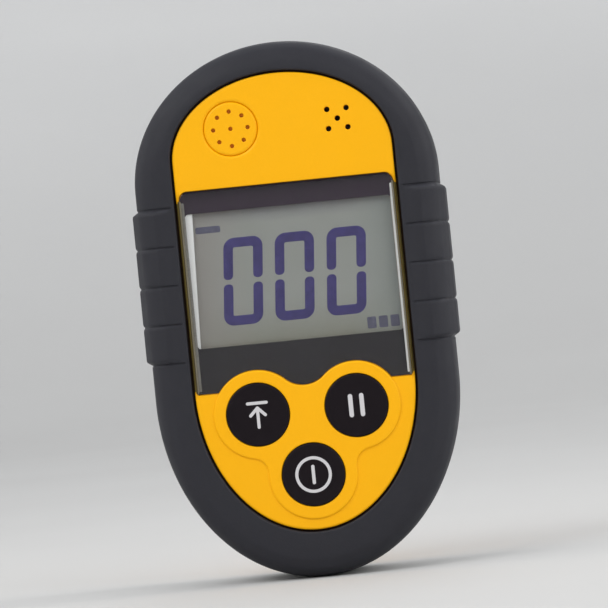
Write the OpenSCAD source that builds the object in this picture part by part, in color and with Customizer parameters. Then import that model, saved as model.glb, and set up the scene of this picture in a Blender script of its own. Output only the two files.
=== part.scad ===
// Portable gas detector: a hand-held carbon monoxide meter in a rubber boot.
//
// Every part is drawn face up: x runs to the right of the display, y runs from
// the keypad to the sensor end and z runs out of the display towards the user.
// stand() then turns the part upright, so that it faces -Y with the sensor end
// at the top. The origin is the centre of the whole meter.

/* [Body] */
// Length of the rubber boot
body_length = 120; // [118:1:124]
// Width across the straight sides of the boot
body_width = 68; // [68:1:72]
// Thickness of the whole meter
body_thickness = 31; // [31:0.5:33]
// Thickness of the boot's side wall
boot_wall = 3; // [2.5:0.25:3.5]
// How far the grip pads stand out of the sides
grip_height = 1.2; // [0.6:0.2:1.6]

/* [Face] */
// Width of the yellow face inside the boot's front opening
face_width = 49.2; // [48.8:0.1:49.6]
// Top of the yellow face, measured from the centre of the meter
face_top = 52.8; // [52:0.2:53.6]
// Bottom of the yellow face, measured from the centre of the meter
face_bottom = -49.2; // [-50:0.2:-48.6]
// Thickness of the moulded walls
shell_wall = 1.8; // [1.6:0.1:2]

/* [Display] */
// Width of the clear lens
lens_width = 48; // [47.6:0.1:48]
// Top edge of the lens
lens_top = 28.3; // [27.5:0.1:28.6]
// Bottom edge of the lens beside the keypad
lens_bottom = -17; // [-17.5:0.1:-16.5]
// Thickness of the lens
lens_thick = 1.6; // [1.4:0.1:1.7]
// Width of the window in the lens print
view_width = 46; // [44:0.5:46]
// Top of the window in the lens print
view_top = 23.3; // [22:0.1:23.4]
// Bottom of the window in the lens print
view_bottom = -6.8; // [-6.9:0.1:-6]

/* [Keypad] */
// Radius of a button
button_r = 7; // [6.6:0.1:7.1]
// Distance of each upper button from the centre line
button_spread = 11; // [10.8:0.1:11.2]
// Height of the two upper buttons
upper_button_y = -22.5; // [-22.8:0.1:-22.2]
// Height of the power button
power_button_y = -36.9; // [-37.2:0.1:-36.6]
// How far a button goes in
button_travel = 0.9; // [0.5:0.1:0.9]
// Radius of the raised pad round each button
pad_r = 9.9; // [9.7:0.1:10]

/* [Sensor and sounder] */
// Height of the sensor grille and the sounder grille
grille_y = 41.3; // [41:0.1:41.5]
// Distance of the sensor grille from the centre line
sensor_x = -10.9; // [-11:0.1:-10.7]
// Distance of the sounder grille from the centre line
sounder_x = 13; // [12.5:0.1:13.2]
// Radius of the round sensor grille
sensor_cap_r = 6; // [5.8:0.1:6]
// Radius of the sensor cell
cell_r = 10.1; // [9.8:0.1:10.1]
// Length of the sensor cell
cell_length = 16.6; // [15:0.2:16.6]

/* [Battery] */
// Length of the 9 V block battery without its terminals
battery_length = 46.4; // [45:0.2:46.4]
// Width of the battery
battery_width = 26.5; // [25.5:0.1:26.5]
// Thickness of the battery
battery_thick = 17.5; // [16:0.1:17.5]

/* [Hidden] */
$fn = 48;

// Clearance between neighbouring parts, and how far a cut or a joined shape runs on
gap = 0.05;
past = 1;
root = 0.3;
// Corners of each half of an oval outline
half_steps = 32;

// Heights through the thickness
front_z = body_thickness / 2;
back_z = -front_z;
lip_z = front_z - 0.3;
pad_z = front_z - 0.4;
face_z = front_z - 0.8;
shoulder_z = front_z - 2.1;
back_face_z = back_z + 0.8;
lens_z = pad_z - lens_thick;
mask_thick = 0.3;
seat_z = lens_z - mask_thick;
roof_z = face_z - shell_wall - 0.2;
side_roof_z = shoulder_z - shell_wall;
frame_roof_z = seat_z - 0.8;
boot_back_z = back_z + 2.05;
rear_shoulder_z = back_z + 2.1;

// Oval outlines: a half ellipse at each end of a straight middle
top_centre = 29;
low_centre = -18;
face_top_centre = 34.7;
face_low_centre = -16.8;
opening_gap = 0.45;
back_lip = 5.7;
side_wall = 2;
island_inset = back_lip + 0.3;

// Boot grips: five grooves with four pads between them
groove_top = 25;
groove_pitch = 8.65;
groove_width = 0.55;
pad_count = 4;

// Circuit board and what stands on it
pcb_thick = 1.6;
pcb_z = front_z - 8.1;
pcb_top = pcb_z + pcb_thick;
pcb_inset = 7;
pcb_screw_spots = [[-23.3, -13], [23.3, -13], [3, 34], [0, -49.6]];
pcb_post_r = 2.2;
pcb_screw_r = 0.9;
pcb_head_r = 1.8;

// Screws that hold the two case halves together
case_screw_spots = [[-24, 31.5], [24, 31.5], [-22.5, -24], [22.5, -24]];
screw_head_r = 2.8;
screw_head_depth = 2.3;
screw_r = 1.45;
screw_top = 7.5;
screw_arm = 3.4;
screw_arm_width = 0.7;
screw_slot_depth = 2;
insert_r = 2.1;
insert_top = 6.3;
front_boss_r = 3.1;
rear_boss_r = 3.4;

// Display stack
frame_size = [49.2, 34.2];
frame_centre_y = 8.5;
frame_opening = 45.2;
frame_slack = 0.2;
reflector_size = [44.6, 27.6];
strip_half = 22;
window_margin = [0.15, 0.4];
glass_size = [47.2, 32.6];
glass_z = pcb_top + 1.9;
glass_thick = 1.1;
film_thick = 0.2;

// Keys
button_proud = 0.2;
key_hole_gap = 0.12;
flange_r = button_r + 0.9;
flange_thick = 0.7;
stem_r = 2;
dome_height = 0.35;
dome_r = 4;
mat_r = 8.3;
mat_thick = 0.65;
mat_hole_r = 5;
button_spots = [[-button_spread, upper_button_y], [button_spread, upper_button_y],
  [0, power_button_y]];
key_web_r = 3.5;

// Battery bay, door and leads
bay_wall = 1.8;
bay_half = battery_width / 2 + 0.35;
bay_low = -45.4;
bay_top = 8.2;
battery_low = -44.9;
door_half = 14.6;
door_low = -46.2;
door_thick = 1.8;
door_corner = 1.3;
door_gap = 0.15;
notch_r = 5;
rib_count = 5;
rib_pitch = 1.8;
rib_depth = 0.4;
rib_width = 0.8;
rib_half = 5;
hinge_y = 5;
hinge_r = 1.3;
hinge_z = back_face_z + hinge_r;
trunnion_r = 0.9;
trunnion_reach = 1.6;
hinge_block = [1.6, 2.4, 2.2];
foam_thick = 0.7;
foam_half = 10;
foam_low = -38;
foam_top = -6;
battery_z = back_face_z + door_thick + foam_thick + 0.1;
bay_roof_z = battery_z + battery_thick + 0.2;
lead_r = 0.65;
lead_x = 2;
lead_z = 0;
lead_bend = 2;
snap_half = 12.8;
snap_depth = 4.2;
socket_y = 13.5;
socket_z = pcb_z - 5;
socket_size = [7.2, 4.6];
terminal_x = 6.35;
terminal_r = [2.8, 3.8];
terminal_height = 2.1;

// Sensor cell
cell_z = pcb_top + 2.2;
pin_ring = 6.5;
pin_r = 0.75;
pin_angles = [90, 210, 330];
port_r = 5;
port_bore_r = 1.2;
sensor_board_r = 10.3;
ribbon_thick = 0.3;
ribbon_half = 3.5;
ribbon_x = 0.6;

// Grilles and what lies under them
cap_thick = 0.9;
filter_r = sensor_cap_r - 1.2;
filter_thick = 0.25;
buzzer_r = 6.5;
buzzer_port_r = 1.1;

yellow = [0.99, 0.72, 0.06];
rubber_grey = [0.22, 0.23, 0.25];
key_black = [0.12, 0.1, 0.12];
print_black = [0.2, 0.19, 0.21];
board_green = [0.08, 0.36, 0.2];
steel = [0.7, 0.7, 0.72];

// Outline with half ellipses of half width hw: centres at top_y and low_y, ends at top_end and low_end
function oval(hw, top_y, top_end, low_y, low_end) = concat(
  [for (i = [0:half_steps]) let (a = 180 * i / half_steps)
    [hw * cos(a), top_y + (top_end - top_y) * sin(a)]],
  [for (i = [0:half_steps]) let (a = 180 + 180 * i / half_steps)
    [hw * cos(a), low_y + (low_y - low_end) * sin(a)]]);

function body_oval(inset) = oval(body_width / 2 - inset, top_centre,
  body_length / 2 - inset, low_centre, inset - body_length / 2);

function face_oval(inset) = oval(face_width / 2 - inset, face_top_centre,
  face_top - inset, face_low_centre, face_bottom + inset);

// Centre of the circle of radius r that touches two circles of radius pad_r, to the right of a to b
function fillet_centre(a, b, r) = let (
    middle = (a + b) / 2,
    half = norm(b - a) / 2,
    along = (b - a) / norm(b - a),
    reach = sqrt(pow(pad_r + r, 2) - half * half))
  middle + reach * [along[1], -along[0]];

// The lens dips between the two upper buttons in an arc that touches both of their pads
dip_low = lens_bottom + 0.1;
dip_rise = upper_button_y - dip_low;
dip_r = (button_spread * button_spread + dip_rise * dip_rise - pad_r * pad_r)
  / (2 * (pad_r + dip_rise));
dip_y = dip_low + dip_r;
dip_angle = atan2(dip_y - upper_button_y, button_spread);

module stand() { rotate([90, 0, 0]) children(); }

module prism(points, z0, z1) {
  translate([0, 0, z0]) linear_extrude(z1 - z0) polygon(points);
}

module block(x0, x1, y0, y1, z0, z1) {
  translate([x0, y0, z0]) cube([x1 - x0, y1 - y0, z1 - z0]);
}

module disc(spot, r, z0, z1) {
  translate([spot[0], spot[1], z0]) cylinder(r = r, h = z1 - z0);
}

module ring(spot, r_in, r_out, z0, z1) {
  difference() {
    disc(spot, r_out, z0, z1);
    disc(spot, r_in, z0 - 1, z1 + 1);
  }
}

module rounded_rect(w, h, r) {
  square([w - 2 * r, h], center = true);
  square([w, h - 2 * r], center = true);
  for (sx = [-1, 1], sy = [-1, 1])
    translate([sx * (w / 2 - r), sy * (h / 2 - r)]) circle(r);
}

// Hollow-sided piece that joins two button pads with a concave arc of radius r
module pad_web(a, b, r) {
  f = fillet_centre(a, b, r);
  difference() {
    polygon([a, f, b]);
    translate(f) circle(r);
  }
}

module keypad_outline() {
  for (spot = button_spots) translate(spot) circle(pad_r);
  polygon(button_spots);
  pad_web(button_spots[0], button_spots[1], dip_r);
  pad_web(button_spots[1], button_spots[2], key_web_r);
  pad_web(button_spots[2], button_spots[0], key_web_r);
}

module lens_outline(grow) {
  dip_half = button_spread - (pad_r - grow) * cos(dip_angle);
  dip_side = upper_button_y + (pad_r - grow) * sin(dip_angle);
  difference() {
    union() {
      translate([0, (lens_top + lens_bottom) / 2])
        rounded_rect(lens_width + 2 * grow, lens_top - lens_bottom + 2 * grow, 2 + grow);
      translate([-lens_width / 2 - grow, lens_bottom - grow])
        square([lens_width + 2 * grow, 4]);
    }
    for (side = [-1, 1]) translate([side * button_spread, upper_button_y]) circle(pad_r - grow);
    difference() {
      translate([-dip_half, lens_bottom - 2]) square([2 * dip_half, dip_side - lens_bottom + 2]);
      translate([0, dip_y]) circle(dip_r + grow);
    }
  }
}

// Rounded solid through a stack of ovals, from front to back. Each slice holds its height and
// how far it is inside the widest outline.
module skin(slices) {
  n = 2 * half_steps + 2;
  rings = len(slices);
  points = [for (s = slices) for (p = body_oval(s[1])) [p[0], p[1], s[0]]];
  front = [for (i = [n - 1:-1:0]) i];
  back = [for (i = [0:n - 1]) (rings - 1) * n + i];
  sides = [for (r = [0:rings - 2], i = [0:n - 1])
    let (a = r * n, j = (i + 1) % n)
    each [[a + i, a + n + j, a + n + i], [a + i, a + j, a + n + j]]];
  polyhedron(points, concat([front, back], sides));
}

boot_slices = [[lip_z, 6.8], [lip_z - 0.35, 4.2], [lip_z - 1.3, 2.1], [lip_z - 3, 0.8],
  [lip_z - 5.5, 0.15], [lip_z - 8, 0], [back_z + 8, 0], [back_z + 5, 0.3],
  [back_z + 2.4, 1.1], [back_z + 0.8, 2.2], [back_z - 0.2, 3.4]];

// Section of a grip pad on the right side: x is how far inside the widest outline, z is the height
grip_outer = [[7.9, front_z], [4.4, front_z], [2.4, front_z - 0.7], [0.9, front_z - 1.9],
  [0, front_z - 3.7], [-0.7, front_z - 5.6], [-grip_height, front_z - 8],
  [-grip_height, back_z + 8.4], [-0.7, back_z + 5.4], [0.1, back_z + 3.2], [1.2, back_z + 1.5]];
grip_inner = [[2, back_z + 1.9], [1.4, back_z + 5], [1.4, front_z - 5.4], [2.6, front_z - 3],
  [4.4, front_z - 1.2], [7.9, front_z - 1]];

module rubber_boot() {
  color(rubber_grey) stand() difference() {
    union() {
      skin(boot_slices);
      for (side = [0, 1], i = [0:pad_count - 1])
        mirror([side, 0, 0]) grip_pad(groove_top - groove_width / 2 - i * groove_pitch);
    }
    prism(body_oval(boot_wall - gap), boot_back_z, shoulder_z + gap);
    prism(face_oval(-opening_gap), 0, front_z + past);
    prism(body_oval(back_lip), back_z - past, 0);
    block(-body_width, body_width, -body_length, body_length, back_z - past, back_z);
  }
}

// One grip pad on the right side, with its upper end at top_y
module grip_pad(top_y) {
  section = [for (p = concat(grip_outer, grip_inner)) [body_width / 2 - p[0], p[1]]];
  translate([0, top_y, 0]) rotate([90, 0, 0])
    linear_extrude(groove_pitch - groove_width) polygon(section);
}

module front_shell() {
  color(yellow) stand() difference() {
    union() {
      difference() {
        union() {
          prism(body_oval(boot_wall), 0, shoulder_z);
          prism(face_oval(0), 0, face_z);
          translate([0, 0, roof_z + root]) linear_extrude(pad_z - roof_z - root) keypad_outline();
        }
        prism(body_oval(boot_wall + side_wall), -past, side_roof_z);
        prism(face_oval(shell_wall), -past, roof_z);
        translate([0, 0, -past]) linear_extrude(frame_roof_z + past) translate([0, frame_centre_y])
          square(frame_size + 2 * frame_slack * [1, 1], center = true);
      }
      for (spot = case_screw_spots) disc(spot, front_boss_r, 0, roof_z + root);
      for (spot = pcb_screw_spots) disc(spot, pcb_post_r, pcb_top + gap, roof_z + root);
    }
    translate([0, 0, seat_z]) linear_extrude(front_z) lens_outline(gap);
    block(-view_width / 2 - window_margin[0], view_width / 2 + window_margin[0],
      view_bottom - window_margin[1], view_top + window_margin[1], 0, front_z);
    for (spot = button_spots) disc(spot, button_r + key_hole_gap, 0, front_z + past);
    disc([sensor_x, grille_y], sensor_cap_r + gap, face_z - cap_thick, front_z);
    disc([sensor_x, grille_y], filter_r + 2 * gap, 0, front_z);
    sounder_holes(0, front_z);
    for (spot = case_screw_spots) disc(spot, insert_r + gap, -past, screw_top + past / 2);
    for (spot = pcb_screw_spots) disc(spot, pcb_screw_r + gap, 0, side_roof_z + root);
  }
}

module sounder_holes(z0, z1) {
  reach = 2.15;
  hole_r = 0.62;
  for (sx = [-1, 1], sy = [-1, 1])
    disc([sounder_x + sx * reach, grille_y + sy * reach], hole_r, z0, z1);
  disc([sounder_x, grille_y], hole_r, z0, z1);
}

module rear_shell() {
  bay_out = bay_half + bay_wall;
  color(yellow) stand() difference() {
    union() {
      difference() {
        union() {
          prism(body_oval(boot_wall), rear_shoulder_z, 0);
          prism(body_oval(island_inset), back_face_z, 0);
        }
        prism(body_oval(boot_wall + side_wall), rear_shoulder_z + shell_wall, past);
        prism(body_oval(island_inset + shell_wall), back_face_z + shell_wall, past);
      }
      block(-bay_out, bay_out, bay_low - bay_wall, bay_top + bay_wall,
        back_face_z + past, bay_roof_z + 1);
      for (side = [-1, 1]) translate([side * (bay_out + 0.4), hinge_y])
        block(-hinge_block[0], hinge_block[0], -hinge_block[1], hinge_block[1],
          back_face_z + past, hinge_z + hinge_block[2]);
      for (spot = case_screw_spots) disc(spot, rear_boss_r, back_face_z + past, 0);
      for (side = [-1, 1])
        disc([sensor_x + side * pin_ring, grille_y], pcb_head_r, back_face_z + past, board_z());
    }
    block(-bay_half, bay_half, bay_low, bay_top, back_face_z + shell_wall, bay_roof_z);
    block(-bay_half, bay_half, bay_low, hinge_y + hinge_r, back_z, 0);
    door_prism(door_gap, back_z, back_face_z + door_thick + gap);
    along_x(hinge_y, hinge_z, hinge_r + root, door_half + door_gap);
    along_x(hinge_y, hinge_z, trunnion_r + gap, door_half + trunnion_reach + door_gap);
    disc([0, door_low], notch_r, back_z, back_face_z + past);
    for (spot = case_screw_spots) {
      disc(spot, screw_r + 3 * gap, back_z, past);
      disc(spot, screw_head_r + 4 * gap, back_z, back_face_z + screw_head_depth);
    }
    block(-lead_x * 2, lead_x * 2, bay_top - past, bay_top + bay_wall + past,
      lead_z - lead_x, lead_z + lead_x);
  }
}

// Outline of the battery door, grown by a margin, up to its hinge bar
module door_prism(grow, z0, z1) {
  half = door_half + grow;
  corner = door_corner + grow;
  low = door_low - grow;
  top = hinge_y + (grow > 0 ? hinge_r + root : 0);
  block(-half, half, low + corner, top, z0, z1);
  block(-half + corner, half - corner, low, low + 2 * corner, z0, z1);
  for (side = [-1, 1]) disc([side * (half - corner), low + corner], corner, z0, z1);
}

module along_x(y, z, r, half) {
  translate([-half, y, z]) rotate([0, 90, 0]) cylinder(r = r, h = 2 * half);
}

function board_z() = cell_z - cell_length - 2.6;

module display_lens() {
  color([0.85, 0.88, 0.9, 0.4]) stand()
    translate([0, 0, lens_z]) linear_extrude(lens_thick) lens_outline(0);
}

module lens_mask() {
  color(print_black) stand() translate([0, 0, seat_z]) linear_extrude(mask_thick) difference() {
    lens_outline(-0.1);
    translate([-view_width / 2, view_bottom]) square([view_width, view_top - view_bottom]);
  }
}

module sensor_cap() {
  hole_r = 0.47;
  hole_ring = 3.85;
  color(yellow) stand() difference() {
    disc([sensor_x, grille_y], sensor_cap_r, face_z - cap_thick, face_z);
    disc([sensor_x, grille_y], hole_r, 0, front_z);
    for (a = [0:45:315])
      disc([sensor_x + hole_ring * cos(a), grille_y + hole_ring * sin(a)], hole_r, 0, front_z);
  }
}

module dust_filter() {
  top = face_z - cap_thick - gap;
  color("white") stand() disc([sensor_x, grille_y], filter_r, top - filter_thick, top);
}

module sensor_gasket() {
  color(print_black) stand()
    ring([sensor_x, grille_y], port_r + 0.2, pin_ring + 0.4, cell_z + gap, roof_z - gap);
}

module sensor_cell() {
  color([0.93, 0.93, 0.9]) stand() {
    disc([sensor_x, grille_y], cell_r, cell_z - cell_length, cell_z);
    difference() {
      disc([sensor_x, grille_y], port_r, cell_z - past, cell_z + 0.5);
      disc([sensor_x, grille_y], port_bore_r, cell_z, cell_z + past);
    }
  }
}

module sensor_pins() {
  color("gold") stand() for (a = pin_angles)
    disc([sensor_x + pin_ring * cos(a), grille_y + pin_ring * sin(a)], pin_r,
      board_z() - 0.6, cell_z - cell_length - gap);
}

module sensor_board() {
  color(board_green) stand() difference() {
    disc([sensor_x, grille_y], sensor_board_r, board_z() + gap, board_z() + pcb_thick);
    for (a = pin_angles)
      disc([sensor_x + pin_ring * cos(a), grille_y + pin_ring * sin(a)], pin_r + 2 * gap,
        board_z() - past, board_z() + pcb_thick + past);
  }
}

module sensor_ribbon() {
  top = board_z() + pcb_thick + gap;
  color([0.85, 0.55, 0.2]) stand() {
    block(-2.6, ribbon_x, grille_y - ribbon_half, grille_y + ribbon_half, top, top + ribbon_thick);
    block(ribbon_x - ribbon_thick, ribbon_x, grille_y - ribbon_half, grille_y + ribbon_half,
      top, pcb_z - gap);
  }
}

module buzzer() {
  color(key_black) stand() difference() {
    disc([sounder_x, grille_y], buzzer_r, pcb_top + gap, side_roof_z - 2 * gap);
    disc([sounder_x, grille_y], buzzer_port_r, side_roof_z - past, side_roof_z + past);
  }
}

module buzzer_gasket() {
  color(print_black) stand()
    ring([sounder_x, grille_y], buzzer_port_r * 3, buzzer_r - 1.5, side_roof_z - gap, roof_z - gap);
}

module film(w, h, z0, z1) {
  translate([0, frame_centre_y, z0]) linear_extrude(z1 - z0) square([w, h], center = true);
}

module lcd_polarizer() {
  color([0.52, 0.55, 0.5]) stand()
    film(glass_size[0] - 0.6, glass_size[1] - 1.2, glass_z + glass_thick,
      glass_z + glass_thick + film_thick);
}

module lcd_glass() {
  color([0.6, 0.65, 0.6, 0.5]) stand() film(glass_size[0], glass_size[1], glass_z, glass_z + glass_thick);
}

module lcd_reflector() {
  color([0.75, 0.76, 0.74]) stand()
    film(reflector_size[0], reflector_size[1], glass_z - film_thick, glass_z);
}

module lcd_frame() {
  color([0.9, 0.9, 0.88]) stand() difference() {
    film(frame_size[0], frame_size[1], pcb_top + gap, frame_roof_z - gap);
    film(glass_size[0] + frame_slack, glass_size[1] + frame_slack, glass_z - gap, front_z);
    film(frame_opening, glass_size[1] + frame_slack, 0, front_z);
  }
}

module zebra_strips() {
  reach = glass_size[1] / 2 - 1.3;
  color([0.85, 0.75, 0.8]) stand() for (side = [-1, 1])
    block(-strip_half, strip_half, frame_centre_y + side * reach - 1,
      frame_centre_y + side * reach + 1, pcb_top + gap, glass_z - gap);
}

module main_pcb() {
  corner_y = 33;
  color(board_green) stand() difference() {
    prism(body_oval(pcb_inset), pcb_z, pcb_top);
    disc([sensor_x, grille_y], cell_r + 0.4, 0, front_z);
    block(-body_width, sensor_x, corner_y, body_length, 0, front_z);
    for (spot = case_screw_spots) disc(spot, front_boss_r + 0.5, 0, front_z);
    for (spot = pcb_screw_spots) disc(spot, pcb_screw_r + 0.2, 0, front_z);
  }
}

module pcb_screws() {
  color(steel) stand() for (spot = pcb_screw_spots) {
    disc(spot, pcb_screw_r, pcb_z - 0.4, side_roof_z);
    disc(spot, pcb_head_r, pcb_z - 0.8, pcb_z - gap);
  }
}

module microcontroller() {
  centre = [11, 22];
  color(key_black) stand() translate([centre[0], centre[1], pcb_z - 1.45])
    linear_extrude(1.4) rounded_rect(10, 10, 0.6);
}

module crystal() {
  color(steel) stand() translate([-9, 14, pcb_z - 3.6]) linear_extrude(3.55) rounded_rect(10.5, 4.4, 2.1);
}

module capacitors() {
  color([0.15, 0.2, 0.45]) stand() for (x = [13, 19.5]) disc([x, 13], 2.5, pcb_z - 7, pcb_z - gap);
}

module trimmers() {
  color([0.15, 0.4, 0.75]) stand() for (x = [-18, -10]) difference() {
    block(x - 3.2, x + 3.2, 20, 26.4, pcb_z - 4, pcb_z - gap);
    disc([x, 23.2], 1.6, pcb_z - 5, pcb_z - 3.4);
  }
}

module battery_socket() {
  color("ivory") stand() difference() {
    block(-socket_size[0] / 2, socket_size[0] / 2, socket_y - socket_size[1] / 2,
      socket_y + socket_size[1] / 2, socket_z, pcb_z - gap);
    for (side = [-1, 1])
      disc([side * lead_x, socket_y], lead_r + 2 * gap, socket_z - past, socket_z + 2.4);
  }
}

module snap_domes() {
  color(steel) stand() for (spot = button_spots) {
    disc(spot, dome_r, pcb_top + gap, pcb_top + 0.2);
    disc(spot, dome_r * 0.65, pcb_top + 0.1, pcb_top + dome_height);
  }
}

module keypad_mat() {
  color([0.3, 0.3, 0.32]) stand() difference() {
    union() {
      for (spot = button_spots) disc(spot, mat_r, pcb_top + gap, pcb_top + gap + mat_thick);
      translate([0, 0, pcb_top + gap]) linear_extrude(mat_thick) polygon(button_spots);
    }
    for (spot = button_spots) disc(spot, mat_hole_r, 0, front_z);
  }
}

// A key: a flat cap, the flange that holds it under the shell, and a stem over its snap dome
module key(spot) {
  flange_top = roof_z - gap;
  color(key_black) stand() {
    disc(spot, button_r, flange_top - flange_thick, pad_z + button_proud);
    disc(spot, flange_r, flange_top - flange_thick, flange_top);
    disc(spot, stem_r, pcb_top + dome_height + button_travel + 0.1, flange_top - 0.1);
  }
}

module button_max() { key(button_spots[0]); }

module button_hold() { key(button_spots[1]); }

module button_power() { key(button_spots[2]); }

module battery() {
  color([0.16, 0.17, 0.2]) stand() translate([0, battery_low, battery_z + battery_thick / 2])
    rotate([-90, 0, 0]) linear_extrude(battery_length) rounded_rect(battery_width, battery_thick, 2);
}

module battery_terminals() {
  end = battery_low + battery_length;
  z = battery_z + battery_thick / 2;
  color(steel) stand() for (i = [0, 1]) translate([(2 * i - 1) * terminal_x, end + gap, z])
    rotate([-90, 0, 0]) cylinder(r = terminal_r[i], h = terminal_height - gap);
}

module battery_snap() {
  end = battery_low + battery_length;
  z = battery_z + battery_thick / 2;
  color(key_black) stand() difference() {
    block(-snap_half, snap_half, end + 0.1, end + snap_depth, z - 6, z + 6);
    for (i = [0, 1]) translate([(2 * i - 1) * terminal_x, end - past, z])
      rotate([-90, 0, 0]) cylinder(r = terminal_r[i] + 2 * gap, h = terminal_height + past + 0.1);
  }
}

// A lead: straight out of the battery snap, then a quarter turn up into its socket
module lead(x) {
  start = battery_low + battery_length + snap_depth + gap;
  turn = socket_y - lead_bend;
  translate([x, start, lead_z]) rotate([-90, 0, 0]) cylinder(r = lead_r, h = turn - start);
  translate([x, turn, lead_z + lead_bend]) rotate([90, 0, 90]) rotate([0, 0, -90])
    rotate_extrude(angle = 90) translate([lead_bend, 0]) circle(lead_r);
  disc([x, socket_y], lead_r, lead_z + lead_bend, socket_z + 2.2);
}

module lead_red() { color("red") stand() lead(lead_x); }

module lead_black() { color([0.08, 0.08, 0.08]) stand() lead(-lead_x); }

module battery_door() {
  color(yellow) stand() difference() {
    union() {
      door_prism(0, back_face_z, back_face_z + door_thick);
      along_x(hinge_y, hinge_z, hinge_r, door_half);
      along_x(hinge_y, hinge_z, trunnion_r, door_half + trunnion_reach);
    }
    for (i = [0:rib_count - 1]) translate([0, door_low + 3 + i * rib_pitch])
      block(-rib_half, rib_half, 0, rib_width, back_z, back_face_z + rib_depth);
  }
}

module door_foam() {
  z = back_face_z + door_thick;
  color([0.25, 0.25, 0.27]) stand()
    block(-foam_half, foam_half, foam_low, foam_top, z, z + foam_thick - 2 * gap);
}

module case_screws() {
  head_z = back_face_z + 0.3;
  color(steel) stand() difference() {
    for (spot = case_screw_spots) {
      disc(spot, screw_head_r, head_z, back_face_z + screw_head_depth - gap);
      disc(spot, screw_r, head_z, screw_top);
    }
    for (spot = case_screw_spots) translate([spot[0], spot[1], head_z]) {
      cube([screw_arm, screw_arm_width, screw_slot_depth], center = true);
      cube([screw_arm_width, screw_arm, screw_slot_depth], center = true);
    }
  }
}

module screw_inserts() {
  color([0.8, 0.65, 0.3]) stand()
    for (spot = case_screw_spots) ring(spot, screw_r + gap, insert_r, root, insert_top);
}

rubber_boot();
front_shell();
rear_shell();
display_lens();
lens_mask();
sensor_cap();
dust_filter();
sensor_gasket();
sensor_cell();
sensor_pins();
sensor_board();
sensor_ribbon();
buzzer();
buzzer_gasket();
lcd_polarizer();
lcd_glass();
lcd_reflector();
lcd_frame();
zebra_strips();
main_pcb();
pcb_screws();
microcontroller();
crystal();
capacitors();
trimmers();
battery_socket();
snap_domes();
keypad_mat();
button_max();
button_hold();
button_power();
battery();
battery_terminals();
battery_snap();
lead_red();
lead_black();
battery_door();
door_foam();
case_screws();
screw_inserts();
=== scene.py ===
"""Looks of the portable gas detector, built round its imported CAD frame.

Shapes are drawn face up in millimetres: x runs to the right of the display, y towards the
sensor end and z out of the display. world() turns them into the frame's metres.
"""
import math

import bpy
import numpy as np
from mathutils import Matrix, Vector
from mathutils.geometry import tessellate_polygon

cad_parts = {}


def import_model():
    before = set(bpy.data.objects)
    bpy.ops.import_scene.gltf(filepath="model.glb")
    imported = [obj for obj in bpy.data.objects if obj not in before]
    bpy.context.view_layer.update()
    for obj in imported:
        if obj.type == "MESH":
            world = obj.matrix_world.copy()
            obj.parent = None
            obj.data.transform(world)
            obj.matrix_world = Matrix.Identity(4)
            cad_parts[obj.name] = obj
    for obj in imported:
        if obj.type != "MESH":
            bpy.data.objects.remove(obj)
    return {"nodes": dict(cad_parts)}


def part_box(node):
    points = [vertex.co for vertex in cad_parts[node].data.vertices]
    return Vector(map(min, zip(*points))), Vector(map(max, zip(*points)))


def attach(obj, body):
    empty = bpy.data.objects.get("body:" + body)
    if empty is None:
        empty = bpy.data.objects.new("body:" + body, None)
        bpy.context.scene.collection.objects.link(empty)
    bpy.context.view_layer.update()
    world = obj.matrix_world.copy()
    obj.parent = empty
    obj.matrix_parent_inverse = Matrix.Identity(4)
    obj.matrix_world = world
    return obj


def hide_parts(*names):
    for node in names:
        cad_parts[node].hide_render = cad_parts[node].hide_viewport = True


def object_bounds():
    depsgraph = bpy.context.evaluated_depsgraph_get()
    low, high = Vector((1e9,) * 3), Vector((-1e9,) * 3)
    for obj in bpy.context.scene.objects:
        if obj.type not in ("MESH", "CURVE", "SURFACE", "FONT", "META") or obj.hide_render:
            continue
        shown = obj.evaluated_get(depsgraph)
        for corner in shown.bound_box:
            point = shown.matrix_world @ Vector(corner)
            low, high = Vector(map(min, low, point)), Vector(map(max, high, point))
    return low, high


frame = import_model()
cad_low, cad_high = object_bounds()
MM = 0.001
BODY = "meter"


# ---------------------------------------------------------------- places, from the frame
def face_up(low, high):
    """A box of the frame face up in mm: its lowest and its highest x, y and z."""
    return np.array([low.x, low.z, -high.y]) / MM, np.array([high.x, high.z, -low.y]) / MM


def local_box(node):
    return face_up(*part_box(node))


def centre_of(node):
    low, high = local_box(node)
    return (low + high) / 2


BODY_LOW, BODY_HIGH = face_up(cad_low, cad_high)
GRIP = 1.2
HALF_WIDTH = BODY_HIGH[0] - GRIP
HALF_LENGTH = BODY_HIGH[1]
FLOOR_Z = BODY_LOW[1]
FRONT_Z = BODY_HIGH[2]
BACK_Z = BODY_LOW[2]
LIP_Z = FRONT_Z - 0.3
PAD_Z = local_box("front_shell")[1][2]
FACE_Z = local_box("sensor_cap")[1][2]
SHOULDER_Z = FRONT_Z - 2.1
ROOF_Z = FACE_Z - 2
SIDE_ROOF_Z = SHOULDER_Z - 1.8
BACK_FACE_Z = local_box("rear_shell")[0][2]
BOOT_WALL = 3.0
BACK_LIP = 5.7
CASE_WALL = 1.8
CASE_SIDE = 2.0
DOOR_HALF = 14.6
DOOR_GAP = 0.16
HINGE_Y, HINGE_R = 5.0, 1.3
SCREW_R = 2.8

LENS_LOW, LENS_HIGH = local_box("display_lens")
PRINT_LOW, PRINT_HIGH = local_box("lens_mask")
LCD_LOW, LCD_HIGH = local_box("lcd_polarizer")
VIEW_TOP = 23.3
VIEW_LOW = -6.8
VIEW_HALF = 23.0
KEYS = {name: centre_of("button_" + name)[:2] for name in ("max", "hold", "power")}
KEY_R = 7.0
KEY_HOLE_R = KEY_R + 0.12
PAD_R = 9.9
SENSOR = centre_of("sensor_cap")[:2]
SENSOR_R = (local_box("sensor_cap")[1] - centre_of("sensor_cap"))[0]
SOUNDER = centre_of("buzzer")[:2]

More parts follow.
